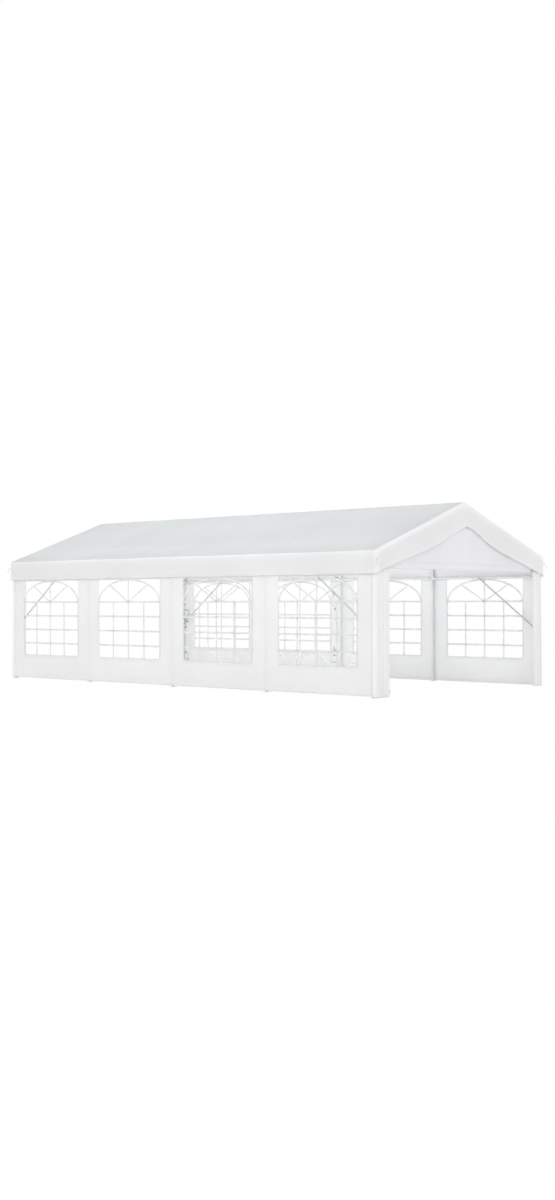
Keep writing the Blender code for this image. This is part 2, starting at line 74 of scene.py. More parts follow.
rail_low, rail_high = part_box("side_rail_right_4")
RAIL_Z = (rail_low.z + rail_high.z) / 2
RAIL_GAP = HALF_L - rail_high.y  # from a portal to the end of a rail
TUBE_R = (rail_high.z - rail_low.z) / 2

roof_low, roof_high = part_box("roof_cover")
EAVE_X = roof_high.x
END_Y = roof_high.y
RIDGE_Z = roof_high.z
DROP = 0.315  # skirt below the eave
EAVE_Z = roof_low.z + DROP
SLOPE = (RIDGE_Z - EAVE_Z) / EAVE_X

KNEE_Z0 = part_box("knee_connector_right_3")[0].z
ridge_low, ridge_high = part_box("ridge_tube_2")
NODE_RIDGE = (ridge_low.z + ridge_high.z) / 2  # where the tube axes meet
NODE_KNEE = NODE_RIDGE - SLOPE * HALF_W
LEFT_UP = Vector((HALF_W, 0, NODE_RIDGE - NODE_KNEE)).normalized()  # up a left rafter

wall_low, wall_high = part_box("side_wall_right")
WALL_END = wall_high.y
WALL_Z0, WALL_Z1 = wall_low.z, wall_high.z

# ---------------------------------------------------------------- chosen dimensions
SHEET = 0.0008  # sheet thickness
WALL_X = wall_high.x + SHEET  # outer face of the side walls
CORNER_R = 0.016  # side wall round the end legs
FOLD = 0.037  # roll of the roof sheet over its edges
HEM_ROWS = (0.0, 0.014, 0.0275, 0.029)  # mesh rows up from a bottom hem
GABLE_Y = HALF_L + 0.0345
GABLE_HEM_Z = 1.750

WIN_HALF = 0.735
WIN_Z0, WIN_Z1 = 0.405, 1.668
WIN_SPRING = 1.305  # where the arch starts
STRIP_W = 0.028
STRIP_T = 0.0007

TUBE_WALL = 0.0012
TUBE_LIP = 0.0006  # edge break at a tube's end
TUBE_GAP = 0.042  # from a node to the end of a rafter
SLEEVE_R, SLEEVE_IN = 0.0225, 0.0198
RAIL_REACH, RAFTER_REACH = 0.100, 0.130  # sleeve lengths from the node
BRACE_Z = 0.875  # lower end of a brace
BRACE_RUN = 1.070  # its reach along Y
BRACE_R = 0.0125


# ---------------------------------------------------------------- numbers
def clamp(value, low=0.0, high=1.0):
    return max(low, min(high, value))


def smooth(value):
    value = clamp(value)
    return value * value * (3 - 2 * value)


def bell(offset, width):
    return math.exp(-((offset / width) ** 2))


def noise3(x, y, z):
    return noise.noise(Vector((x, y, z)))


def spaced(start, stop, step):
    """Even stations from start to stop, about a step apart."""
    count = max(1, round((stop - start) / step))
    return [start + (stop - start) * k / count for k in range(count + 1)]


# ---------------------------------------------------------------- shader nodes
def rgba(colour):
    return (*colour, 1.0) if isinstance(colour, tuple) else (colour, colour, colour, 1.0)


def toned(colour, gain):
    return tuple(min(1.0, channel * gain) for channel in colour)


class Nodes:
    """Adds nodes to a tree. An input given as a socket is linked; any other value is set."""

    def __init__(self, tree):
        self.tree = tree

    def fill(self, node, inputs):
        for key, value in inputs.items():
            if isinstance(value, bpy.types.NodeSocket):
                self.tree.links.new(value, node.inputs[key])
            else:
                node.inputs[key].default_value = value

    def add(self, kind, inputs=None, **settings):
        node = self.tree.nodes.new("ShaderNode" + kind)
        for key, value in settings.items():
            setattr(node, key, value)
        self.fill(node, inputs or {})
        return node

    def math(self, operation, *values, limit=False):
        inputs = dict(enumerate(values))
        return self.add("Math", inputs, operation=operation, use_clamp=limit).outputs[0]

    def times(self, first, second, limit=False):
        return self.math("MULTIPLY", first, second, limit=limit)

    def linear(self, value, gain, offset, limit=False):
        return self.math("MULTIPLY_ADD", value, gain, offset, limit=limit)

    def ramp(self, factor, *stops):
        """Each stop is (position, grey or RGB)."""
        node = self.add("ValToRGB", {0: factor})
        elements = node.color_ramp.elements
        while len(elements) < len(stops):
            elements.new(0.5)
        for element, (position, colour) in zip(elements, stops):
            element.position = position
            element.color = rgba(colour)
        return node.outputs[0]

    def mix(self, factor, first, second):
        inputs = {0: factor, 6: first, 7: second}
        return self.add("Mix", inputs, data_type="RGBA").outputs[2]

    def mix_shaders(self, factor, first, second):
        return self.add("MixShader", {0: factor, 1: first, 2: second}).outputs[0]

    def position(self, scale=(1, 1, 1)):
        place = self.add("TexCoord").outputs["Object"]
        return self.add("Mapping", {"Vector": place, "Scale": scale}).outputs["Vector"]

    def noise(self, place, scale, detail, roughness=0.5, distortion=0.0, output="Fac"):
        inputs = {"Vector": place, "Scale": scale, "Detail": detail,
                  "Roughness": roughness, "Distortion": distortion}
        return self.add("TexNoise", inputs).outputs[output]

    def cell_edges(self, place, scale):
        inputs = {"Vector": place, "Scale": scale}
        node = self.add("TexVoronoi", inputs, feature="DISTANCE_TO_EDGE")
        return node.outputs["Distance"]

    def attribute(self, name):
        return self.add("Attribute", attribute_name=name).outputs["Fac"]

    def bump(self, height, strength, distance, under=None):
        inputs = {"Strength": strength, "Distance": distance, "Height": height}
        if under:
            inputs["Normal"] = under
        return self.add("Bump", inputs).outputs[0]

    def surface(self, socket):
        self.fill(self.tree.nodes["Material Output"], {"Surface": socket})


def new_material(name):
    material = bpy.data.materials.new(name)
    material.use_nodes = True
    tree = Nodes(material.node_tree)
    return material, tree, material.node_tree.nodes["Principled BSDF"]


# ---------------------------------------------------------------- materials
def weave(tree, pitch):
    """Flat-tape weave on any face that lies along two of the axes: 0 to 1."""
    place = tree.add("TexCoord").outputs["Object"]
    axes = tree.add("SeparateXYZ", {0: place}).outputs
    turns = 2 * math.pi / pitch
    waves = [tree.math("SINE", tree.times(axes[i], turns)) for i in range(3)]
    pairs = [tree.times(waves[i], waves[k]) for i, k in ((0, 1), (1, 2), (0, 2))]
    total = tree.math("ADD", tree.math("ADD", pairs[0], pairs[1]), pairs[2])
    return tree.linear(total, gain=0.25, offset=0.5)


def sheet_material(name, colour, roughness, let_through, wrinkle, stretch=(1.0, 1.0, 0.25)):
    """Coated sheet: tape weave, creases, faint shade changes, hem stitches, some light passing.

    The mesh attributes give the distance to the free edge (edge), the place along it (run)
    and how many layers are folded together, which also whitens the sheet as a painted highlight
    (fold).
    """
    material, tree, shader = new_material(name)
    place = tree.position()
    broad = tree.noise(place, scale=0.9, detail=3.0)
    fine = tree.noise(place, scale=55.0, detail=3.0, roughness=0.6)
    shade = tree.ramp(broad, (0.30, toned(colour, 0.972)), (0.72, toned(colour, 1.012)))

    # A dashed stitch line inside the hem.
    stitch_in, stitch_half, stitch_pitch, dash_cut = 0.024, 0.0011, 0.0085, -0.55
    hem_width = 0.027
    edge = tree.attribute("edge")
    off_line = tree.math("ABSOLUTE", tree.math("SUBTRACT", edge, stitch_in))
    line = tree.math("LESS_THAN", off_line, stitch_half)
    turns = tree.times(tree.attribute("run"), 2 * math.pi / stitch_pitch)
    dash = tree.math("GREATER_THAN", tree.math("SINE", turns), dash_cut)
    stitch = tree.times(line, dash)
    hem = tree.times(tree.math("LESS_THAN", edge, hem_width),
                     tree.math("GREATER_THAN", edge, 0.0))
    stitched = tree.mix(tree.times(stitch, 0.55), shade, rgba(toned(colour, 0.80)))

    # Folds are several layers thick, so they look whiter than the single sheet; the whitening
    # is also a painted highlight on rolled edges and fold crests.
    fold = tree.attribute("fold")
    layer_white_and_highlight = tree.times(fold, tree.linear(broad, gain=0.3, offset=0.8, limit=True), limit=True)
    tone = tree.mix(layer_white_and_highlight, stitched, rgba((0.985, 0.985, 0.987)))

    folds = tree.noise(tree.position(stretch), scale=5.5, detail=5.0, roughness=0.55,
                       distortion=0.7)
    crease = tree.noise(place, scale=22.0, detail=4.0, roughness=0.6, distortion=1.2)
    creased = tree.bump(tree.linear(folds, gain=1.0, offset=tree.times(crease, 0.22)),
                        strength=wrinkle, distance=0.012)
    woven = tree.math("ADD", weave(tree, pitch=0.0044), tree.times(stitch, 1.5))
    woven = tree.bump(tree.math("ADD", woven, tree.times(hem, 0.3)),
                      strength=0.16, distance=0.0006, under=creased)
    tree.fill(shader, {
        "Base Color": tone,
        "Roughness": tree.linear(fine, gain=0.16, offset=roughness - 0.08),
        "Specular IOR Level": 0.42,
        "Sheen Weight": 0.04,
        "Normal": woven,
    })
    glow = tree.add("BsdfTranslucent", {"Color": tone, "Normal": creased})
    share = tree.linear(fold, gain=-0.6 * let_through, offset=let_through)
    tree.surface(tree.mix_shaders(share, shader.outputs[0], glow.outputs[0]))
    return material


def film_material():
    """Clear glossy film with milky creases and soft glare patches.

    The mesh attributes crinkle and glow say where the painted dark crease lines and the painted
    glare show.
    """
    material, tree, shader = new_material("clear_film")
    place = tree.position()
    warp = tree.noise(place, scale=1.7, detail=2.0, output="Color")
    warped = tree.add("VectorMath", {0: warp, 1: (0.5, 0.5, 0.5), 2: place},
                      operation="MULTIPLY_ADD").outputs[0]
    crumple = tree.cell_edges(warped, scale=4.0)
    folds = tree.noise(tree.position((1.0, 1.0, 0.5)), scale=4.5, detail=3.0, distortion=1.4)
    height = tree.linear(tree.math("MINIMUM", crumple, 0.14), gain=0.8, offset=folds)

    # Milky crease lines, only in patches.
    crease = tree.ramp(crumple, (0.0, 1), (0.010, 0.7), (0.030, 0))
    patch = tree.ramp(folds, (0.48, 0), (0.60, 1))
    milky = tree.times(crease, patch)
    # Soft glare patches, painted as pale opacity: painted reflection.
    cloud = tree.noise(tree.position((1.0, 1.2, 0.8)), scale=4.2, detail=2.0, roughness=0.4,
                       distortion=0.5)
    painted_glare = tree.ramp(cloud, (0.54, 0), (0.66, 1))
    # Dark crease lines, painted where the creased film reflects dark surroundings: painted dark
    # reflection.
    line = tree.ramp(tree.cell_edges(warped, scale=6.5), (0.0, 1), (0.05, 0.7), (0.09, 0))
    cloud = tree.noise(tree.position((1.0, 1.0, 0.8)), scale=5.0, detail=2.0, distortion=0.6)
    pick = tree.ramp(cloud, (0.52, 0), (0.57, 1))
    painted_dark_reflection = tree.times(tree.times(line, pick), tree.attribute("crinkle"))

    # From outside the film carries a pale veil, a painted reflection of the bright
    # surroundings; from inside it is clearer.
    outside = tree.math("SUBTRACT", 1.0, tree.add("NewGeometry").outputs["Backfacing"])
    alpha = tree.linear(milky, gain=0.015, offset=tree.linear(outside, gain=0.17, offset=0.015))
    # Painted glare, from outside only, where the glow attribute asks for it.
    lit = tree.times(tree.times(tree.attribute("glow"), outside), 0.16)
    alpha = tree.math("ADD", alpha, tree.times(painted_glare, lit))
    alpha = tree.math("ADD", alpha, tree.times(painted_dark_reflection, 0.75), limit=True)
    tree.fill(shader, {
        "Normal": tree.bump(height, strength=0.06, distance=0.02),
        "Roughness": 0.10,
        "Specular IOR Level": 0.6,
        "Alpha": alpha,
        "Base Color": tree.ramp(painted_dark_reflection, (0.0, (0.97, 0.98, 0.98)), (0.15, (0.55, 0.58, 0.59)),
                                (1.0, (0.16, 0.18, 0.19))),
    })
    return material


def metal_material(name, colour, roughness, grain, metallic):
    """Coated or galvanised steel: fine specks, soft clouds and paler rubbed edges."""
    material, tree, shader = new_material(name)
    place = tree.position()
    cloud = tree.noise(place, scale=7.0 * grain, detail=4.0, roughness=0.6)
    speck = tree.noise(place, scale=260.0 * grain, detail=2.0)
    blend = tree.linear(speck, gain=0.35, offset=tree.times(cloud, 0.65))
    shade = tree.ramp(blend, (0.30, toned(colour, 0.88)), (0.70, toned(colour, 1.06)))
    worn = tree.ramp(tree.add("NewGeometry").outputs["Pointiness"], (0.50, 0), (0.56, 1))
    tree.fill(shader, {
        "Base Color": tree.mix(tree.times(worn, 0.35), shade, rgba((0.78, 0.79, 0.80))),
        "Metallic": metallic,
        "Roughness": tree.linear(cloud, gain=0.22, offset=roughness - 0.11),
        "Normal": tree.bump(speck, strength=0.12, distance=0.0008),
    })
    return material


def plastic_material(name, colour, roughness, grain=320.0, let_through=0.0):
    """Plastic with a fine grain and faint clouds; some lets light through."""
    material, tree, shader = new_material(name)
    place = tree.position()
    speck = tree.noise(place, scale=grain, detail=3.0, roughness=0.6)
    cloud = tree.noise(place, scale=14.0, detail=3.0)
    shade = tree.ramp(cloud, (0.3, toned(colour, 0.93)), (0.7, toned(colour, 1.04)))
    tree.fill(shader, {
        "Base Color": shade,
        "Roughness": tree.linear(speck, gain=0.2, offset=roughness - 0.1),
        "Normal": tree.bump(speck, strength=0.2, distance=0.0005),
    })
    if let_through:
        glow = tree.add("BsdfTranslucent", {"Color": shade})
        tree.surface(tree.mix_shaders(let_through, shader.outputs[0], glow.outputs[0]))
    return material


def cord_material():
    """Braided cord: fine slanting strands."""
    material, tree, shader = new_material("braided_cord")
    inputs = {"Vector": tree.position(), "Scale": 190.0, "Distortion": 1.5}
    wave = tree.add("TexWave", inputs, wave_type="BANDS", bands_direction="DIAGONAL")
    strands = wave.outputs["Fac"]
    tree.fill(shader, {
        "Base Color": tree.ramp(strands, (0.2, 0.58), (0.8, 0.86)),
        "Roughness": 0.8,
        "Normal": tree.bump(strands, strength=0.5, distance=0.0006),
    })
    return material


def floor_material(lift):
    """Pale studio floor. The camera sees it lifted to nearly white, with a trace of shade."""
    material, tree, shader = new_material("studio_floor")
    cloud = tree.noise(tree.position(), scale=0.7, detail=3.0)
    tree.fill(shader, {
        "Base Color": tree.ramp(cloud, (0.3, 0.93), (0.7, 0.95)),
        "Roughness": 0.9,
        "Specular IOR Level": 0.0,
    })
    light = tree.add("Emission", {"Color": rgba(1), "Strength": 1.0})
    share = tree.times(tree.add("LightPath").outputs["Is Camera Ray"], lift)
    tree.surface(tree.mix_shaders(share, shader.outputs[0], light.outputs[0]))
    return material


# The roof sheet and its skirts are one fabric in two tones: the darker copy on the up-facing
# roof is painted shade, the paler copy on the skirts and rolls painted light.
ROOF_TOP_PAINTED_SHADE = sheet_material("roof_sheet", (0.852, 0.863, 0.870), roughness=0.52, let_through=0.44,
                      wrinkle=0.30, stretch=(0.35, 1.0, 0.35))
SKIRT_PAINTED_LIGHT = sheet_material("skirt_sheet_painted_light", (0.968, 0.966, 0.970), roughness=0.50, let_through=0.34,
                       wrinkle=0.25, stretch=(0.6, 0.6, 0.25))
GABLE = sheet_material("gable_sheet", (0.918, 0.916, 0.926), roughness=0.52, let_through=0.34,
                       wrinkle=0.35)
WALL = sheet_material("wall_sheet", (0.928, 0.927, 0.927), roughness=0.50, let_through=0.28,
                      wrinkle=0.30)
DOOR = sheet_material("door_sheet", (0.944, 0.943, 0.946), roughness=0.50, let_through=0.36,
                      wrinkle=0.35)
FILM = film_material()
STRIP = plastic_material("window_strip", (0.885, 0.885, 0.887), roughness=0.50, grain=180.0,
                         let_through=0.52)
TUBE = metal_material("coated_tube", (0.72, 0.728, 0.735), roughness=0.42, grain=1.0,
                      metallic=0.12)
BRACE = metal_material("galvanised_brace", (0.50, 0.51, 0.515), roughness=0.42, grain=1.3,
                       metallic=0.45)
JOINT = metal_material("coated_connector", (0.66, 0.67, 0.68), roughness=0.46, grain=1.6,
                       metallic=0.15)
ZINC = metal_material("zinc_fastener", (0.64, 0.65, 0.66), roughness=0.32, grain=3.0,
                      metallic=0.75)
ZIP = plastic_material("zip_plastic", (0.80, 0.80, 0.80), roughness=0.42)
BALL = plastic_material("moulded_white", (0.86, 0.86, 0.86), roughness=0.35)
CORD = cord_material()


# ---------------------------------------------------------------- objects and meshes
def new_object(name, data):
    obj = bpy.data.objects.new(name, data)
    bpy.context.scene.collection.objects.link(obj)
    return obj


def piece(name, mesh, slot, *materials, body=ROOT, stands_for=()):
    """An object told to the frame: the body it rides on and what it replaces. The slot argument
    is not used.
    """
    obj = new_object(name, mesh)
    for material in materials:
        mesh.materials.append(material)
    if body:
        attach(obj, body)
    if stands_for:
        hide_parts(*stands_for)
    return obj


def finish(form, name, angle=40.0, recalc=True):
    """Turn a bmesh into a smooth mesh with edges sharp past the angle in degrees."""
    if recalc:
        bmesh.ops.recalc_face_normals(form, faces=form.faces)
    mesh = bpy.data.meshes.new(name)
    form.to_mesh(mesh)
    form.free()
    mesh.shade_smooth()
    mesh.set_sharp_from_angle(angle=math.radians(angle))
    return mesh


def add_attributes(mesh, **columns):
    for name, values in columns.items():
        mesh.attributes.new(name, "FLOAT", "POINT").data.foreach_set("value", values)


def thicken(obj, offset=-1.0):
    modifier = obj.modifiers.new("thickness", "SOLIDIFY")
    modifier.thickness = SHEET
    modifier.offset = offset
    modifier.use_even_offset = False


def grid_faces(form, grid, forward, skip=lambda i, k: False):
    """Quads between the columns of a grid, wound backward unless forward is true."""
    for i, (near, far) in enumerate(zip(grid, grid[1:])):
        for k in range(len(near) - 1):
            if skip(i, k):
                continue
            face = (near[k], far[k], far[k + 1], near[k + 1])
            form.faces.new(face if forward else face[::-1])


def join_rings(form, first, second):
    count = len(first)
    for k in range(count):
        after = (k + 1) % count
        form.faces.new((first[k], first[after], second[after], second[k]))


def loft(form, rings, closed=False):
    """Skin over rings. Closed joins the last ring to the first; otherwise both are capped."""
    for first, second in zip(rings, rings[1:]):
        join_rings(form, first, second)
    if closed:
        join_rings(form, rings[-1], rings[0])
    else:
        form.faces.new(rings[0][::-1])
        form.faces.new(rings[-1])


def swept(form, profile, start, axis, segments=28, closed=True):
    """Round skin along an axis through a profile of (distance, radius)."""
    start, axis = Vector(start), Vector(axis).normalized()
    turn = axis.to_track_quat("Z", "Y")
    rings = []
    for distance, radius in profile:
        centre = start + axis * distance
        ring = []
        for k in range(segments):
            angle = 2 * math.pi * k / segments
            spoke = Vector((radius * math.cos(angle), radius * math.sin(angle), 0))
            ring.append(form.verts.new(centre + turn @ spoke))
        rings.append(ring)
    loft(form, rings, closed)


def capsule(form, start, axis, radius, length, segments=16, round_by=None):
    """Solid pin with rounded ends."""
    rounding = round_by or radius * 0.5
    core = radius - rounding
    bend = [math.pi / 2 * k / 3 for k in range(4)]
    profile = [(0, core)]
    for angle in bend[1:]:
        profile.append((rounding * (1 - math.cos(angle)), core + rounding * math.sin(angle)))
    for angle in bend:
        profile.append((length - rounding + rounding * math.sin(angle),
                        core + rounding * math.cos(angle)))
    profile = [(distance, max(width, 0.0003)) for distance, width in profile]
    swept(form, profile, start, axis, segments, closed=False)


def cord(form, path, radius, closed=False, segments=10):
    """Round cord through every point of a path."""
    rings = []
    up = Vector((0.13, 0.21, 0.97)).normalized()
    count = len(path)
    for i, point in enumerate(path):
        before = path[i - 1] if closed or i > 0 else path[0]
        after = path[(i + 1) % count] if closed or i + 1 < count else path[-1]
        along = (after - before).normalized()
        side = along.cross(up)
        if side.length < 1e-4:
            side = along.cross(Vector((1, 0, 0)))
        side.normalize()
        over = side.cross(along).normalized()
        ring = []
        for k in range(segments):
            angle = 2 * math.pi * k / segments
            spoke = (side * math.cos(angle) + over * math.sin(angle)) * radius
            ring.append(form.verts.new(point + spoke))
        rings.append(ring)
    loft(form, rings, closed)


def smooth_path(points, steps=6):
    """Catmull-Rom curve through the points."""
    path = []
    for i in range(len(points) - 1):
        before, start, stop = points[max(i - 1, 0)], points[i], points[i + 1]
        after = points[min(i + 2, len(points) - 1)]
        for k in range(steps):
            t = k / steps
            path.append(0.5 * ((2 * start) + (stop - before) * t
                               + (2 * before - 5 * start + 4 * stop - after) * t * t
                               + (3 * start - before - 3 * stop + after) * t ** 3))
    path.append(points[-1])
    return path


# ---------------------------------------------------------------- how the sheets hang
def roof_line(x):
    return RIDGE_Z - SLOPE * abs(x)


def bay_share(y):
    """0 at each portal frame, 1 half way between two, and 0 past the end frames."""
    share = (abs(y) % BAY) / BAY if abs(y) < HALF_L else 0.0
    return abs(math.sin(math.pi * share))


def roof_sag(x, y):
    """How far the roof sheet lies under its straight line."""
    share = abs(x) / EAVE_X  # 0 at the ridge, 1 at the eave
    bay = bay_share(y) ** 1.25
    across = math.sin(math.pi * clamp(share / 0.98)) ** 0.75 if share < 0.98 else 0.0
    # Belly of each bay, and a smaller dip at the eave.
    sag = 0.017 * bay * across
    sag += 0.005 * bay * smooth((share - 0.80) / 0.2)
    # Uneven edge past the end frames.
    over = clamp((abs(y) - HALF_L - 0.005) / (END_Y - HALF_L - 0.005))
    y_dir = math.copysign(1, y)
    sag += over * (0.004 + 0.007 * noise3(x * 1.7, 0.0, 41.0 + y_dir)
                   + 0.003 * noise3(x * 5.0, 0.0, 44.0 + y_dir))
    # Tension folds fan out from each knee towards the middle of the bay.
    fan_reach, fan_height, fan_count = 0.9, 0.0028, 11.0
    for portal in PORTALS:
        along, inward = abs(y - portal), EAVE_X - abs(x)
        reach = math.hypot(inward, along)
        if reach < fan_reach and along > 1e-6:
            angle = math.atan2(along, max(inward, 1e-6))
            sag += (fan_height * math.sin(angle * fan_count + portal)
                    * smooth(1 - reach / fan_reach) * smooth(reach / 0.2) * clamp(bay * 3))
    # Broad and narrow ripples that die out at the frames and the eave.
    ripple = (noise3(x * 0.9, y * 1.7, 3.1) * 0.0045
              + noise3(x * 0.7 + 9, y * 6.0, 1.0) * 0.0018)
    sag += ripple * clamp(bay_share(y) * 2.2) * clamp((0.995 - share) * 25)
    return sag


def wall_bulge(y, z, x_dir):
    """How far a side wall stands outside its own plane."""
    bay = bay_share(y)
    tall = math.sin(math.pi * clamp((z - WALL_Z0) / (WALL_Z1 - WALL_Z0)))
    # Belly of each bay, then broad and narrow waves.
    out = 0.0065 * bay ** 0.8 * (0.35 + 0.65 * tall)
    out += 0.0035 * clamp(bay * 1.6) * (1 + noise3(y * 2.3, z * 0.8, 7.7))
    out += 0.0020 * clamp(bay * 2.0) * noise3(y * 9.0, z * 1.1, 2.2)
    # A swelling on both sides of each middle leg, larger on the right wall.
    near = min(abs(y - portal) for portal in PORTALS[1:-1])
    if near < 0.27:
        hug = smooth((0.27 - near) / 0.12) * smooth(near / 0.05)
        swell = 0.0035 if x_dir < 0 else 0.0120
        uneven = 0.75 + 0.5 * noise3(z * 1.4, y * 2.0, 11.0)
        out += swell * hug * uneven * (0.4 + 0.6 * tall)
    # Loose waves along the foot.
    foot = smooth(1 - z / 0.22)
    out += foot * (0.004 * noise3(y * 4.0, 0.0, 5.0)
                   + 0.003 * noise3(y * 13.0, 0.0, 9.0)) * clamp(bay * 2)
    return max(out, 0.0)


# ---------------------------------------------------------------- roof sheet with its skirts
def end_hem(x, y_dir):
    """How much longer than DROP the end skirt hangs at x: slack hems on both slopes."""
    across = x * -y_dir
    left = (0.078 * bell(across + 0.72, 0.68 if across < -0.72 else 0.60)
            * smooth((2.0 - abs(across)) / 0.4))
    right = 0.070 * smooth((across - 0.16) / 0.42) * smooth((1.95 - across) / 1.25)
    return left + right + 0.018 * bell(across, 0.30) - 0.012 * smooth((abs(x) - 1.6) / 0.4)


def roof_box():
    """Square-edged roof and skirts, with bevel weights on the edges to be rolled."""
    half = [0.0] + spaced(0.055, EAVE_X - 0.190, 0.052)
    half += [EAVE_X - inset for inset in (0.158, 0.134, 0.116, 0.100, 0.078, 0.052, 0.0)]
    columns = sorted(set(round(x, 6) for x in [-x for x in half] + half))
    tail = [HALF_L + 0.022, END_Y - FOLD - 0.006, END_Y]
    rows = [-y for y in tail[::-1]] + spaced(-HALF_L, HALF_L, BAY / 36) + tail
    depths = [FOLD + 0.004, 0.08, 0.11, 0.14, 0.17, 0.20, 0.23, 0.26,
              DROP - 0.0290, DROP - 0.0275, DROP - 0.014, DROP]
    form = bmesh.new()
    weight = form.edges.layers.float.new("bevel_weight_edge")
    top = {}
    for i, x in enumerate(columns):
        for j, y in enumerate(rows):
            top[i, j] = form.verts.new((x, y, roof_line(x)))
    last_i, last_j = len(columns) - 1, len(rows) - 1
    for i in range(last_i):
        for j in range(last_j):
            form.faces.new((top[i, j], top[i + 1, j], top[i + 1, j + 1], top[i, j + 1]))
    rim = [(i, 0) for i in range(last_i)]
    rim += [(last_i, j) for j in range(last_j)]
    rim += [(i, last_j) for i in range(last_i, 0, -1)]
    rim += [(0, j) for j in range(last_j, 0, -1)]
    upper = [top[place] for place in rim]
    for depth in depths:
        lower = []
        for place in rim:
            x, y, z = top[place].co
            lower.append(form.verts.new((x, y, z - depth)))
        for k in range(len(rim)):
            after = (k + 1) % len(rim)
            form.faces.new((upper[k], lower[k], lower[after], upper[after]))
        upper = lower
    bmesh.ops.recalc_face_normals(form, faces=form.faces)
    if sum(face.normal.z * face.calc_area() for face in form.faces) < 0:
        bmesh.ops.reverse_faces(form, faces=form.faces)
    for edge in form.edges:
        start, stop = (vert.co for vert in edge.verts)
        if len(edge.link_faces) == 2 and edge.calc_face_angle(0) > math.radians(25):
            upright = abs(start.x - stop.x) < 1e-5 and abs(start.y - stop.y) < 1e-5
            at_end = all(abs(abs(co.y) - END_Y) < 1e-5 for co in (start, stop))
            at_ridge = abs(start.x) < 1e-5 and abs(stop.x) < 1e-5
            edge[weight] = 0.85 if upright else 1.0 if at_end else 0.45 if at_ridge else 0.28
    mesh = bpy.data.meshes.new("roof_work")
    form.to_mesh(mesh)
    form.free()
    return mesh


def rolled_roof():
    """The roof box with its weighted edges rolled."""
    work = new_object("roof_work", roof_box())
    bevel = work.modifiers.new("folds", "BEVEL")
    bevel.limit_method = "WEIGHT"
    bevel.width = FOLD
    bevel.segments = 6
    bevel.profile = 0.5
    bevel.use_clamp_overlap = False
    bpy.context.view_layer.update()
    evaluated = work.evaluated_get(bpy.context.evaluated_depsgraph_get())
    mesh = bpy.data.meshes.new_from_object(evaluated)
    bpy.data.objects.remove(work)
    mesh.name = "roof_sheet"
    return mesh


def roof_shift(x, y, down, on_side, on_end):
    """How a roof vertex moves from the straight shape. Down is 0 at the roof, 1 at the hem;
    on_side and on_end are 1 on the side and end skirts."""
    x_dir, y_dir = math.copysign(1, x), math.copysign(1, y)
    shift = Vector((0, 0, -roof_sag(clamp(x, -EAVE_X, EAVE_X), y)))
    hem_out = 0.0010 if down > (DROP - 0.0285) / DROP else 0.0
    if on_side > 0:
        corner = smooth((END_Y - abs(y)) / 0.30)
        bay = bay_share(y)
        wave = 1.2 * noise3(y * 1.3, down * 0.8, 4.0) + 0.5 * noise3(y * 4.5, down, 8.0)
        fan = 0.0022 * math.sin(y * 2 * math.pi / 0.25) * bay * down
        shift.x += on_side * x_dir * (
            (0.0010 + 0.0055 * down) * wave * corner
            - 0.006 * smooth(down) * bay * corner + fan * corner + hem_out)
        shift.z += on_side * 0.005 * noise3(y * 1.9, 0, 6.0) * down * corner
        shift.x -= on_side * x_dir * 0.014 * smooth(down) * corner
    if on_end > 0:
        corner = smooth((EAVE_X - abs(x)) / 0.30)
        wave = (1.2 * noise3(x * 1.8, down * 0.7, 14.0 + y_dir)
                + 0.5 * noise3(x * 6.0, down, 18.0 + y_dir))
        shift.y += on_end * y_dir * (
            (0.001 + 0.007 * down) * wave * corner + 0.006 * down * corner + hem_out)
        hem_wave = 0.005 * noise3(x * 2.4, 0, 16.0 + y_dir) * corner
        shift.z += on_end * down * (hem_wave - end_hem(x, y_dir))
        # A rounded roll runs down each corner, with a crease where the flat skirt starts.
        inward = (EAVE_X - abs(x)) / 0.118
        roll = math.sin(math.pi * clamp(inward)) ** 0.8 if 0 < inward < 1 else 0.0
        crease = bell(inward - 1.0, 0.16)
        proud = 0.015 * roll * (0.5 + 0.5 * smooth(down * 3)) - 0.004 * crease
        shift.y += on_end * y_dir * proud * smooth(down * 5)
    # The fold over the end rafters stands a little proud of the sheet.
    if down < 0.2:
        shift.z += 0.0045 * bell(abs(y) - (END_Y - 0.028), 0.026)
    return shift


def roof_sheet():
    mesh = rolled_roof()
    edge, run, fold = [], [], []
    for vert in mesh.vertices:
        x, y, z = vert.co
        below = roof_line(x) - z
        down = clamp(below / DROP)
        on_side = clamp((abs(x) - (EAVE_X - 0.030)) / 0.028)
        on_end = clamp((abs(y) - (END_Y - 0.030)) / 0.028)
        on_skirt = max(on_side, on_end) > 0 and down > 0.02
        edge.append(max(0.0001, (1 - down) * DROP) if on_skirt else 1.0)
        run.append(y if on_side > on_end else x)
        # Layered folds along the sloping end edges and down the corner rolls; their whitening
        # is partly a painted highlight.
        rake = (0.62 * smooth((0.060 - below) / 0.022)
                * smooth((abs(y) - (END_Y - 0.050)) / 0.010))
        corner_roll = (smooth((abs(y) - (END_Y - 0.034)) / 0.024)
                       * smooth((abs(x) - (EAVE_X - 0.112)) / 0.030))
        fold.append(clamp(max(rake, 0.30 * corner_roll)))
        vert.co = Vector(vert.co) + roof_shift(x, y, down, on_side, on_end)
    mesh.update()
    add_attributes(mesh, edge=edge, run=run, fold=fold)
    # Painted shade and light: faces that look up take the darker copy of the fabric, the skirts
    # and rolls the paler one.
    for face in mesh.polygons:
        face.material_index = 0 if face.normal.z > 0.86 else 1
    mesh.shade_smooth()
    thicken(piece("roof_sheet", mesh, "roof_sheet", ROOF_TOP_PAINTED_SHADE, SKIRT_PAINTED_LIGHT, stands_for=["roof_cover"]))


roof_sheet()


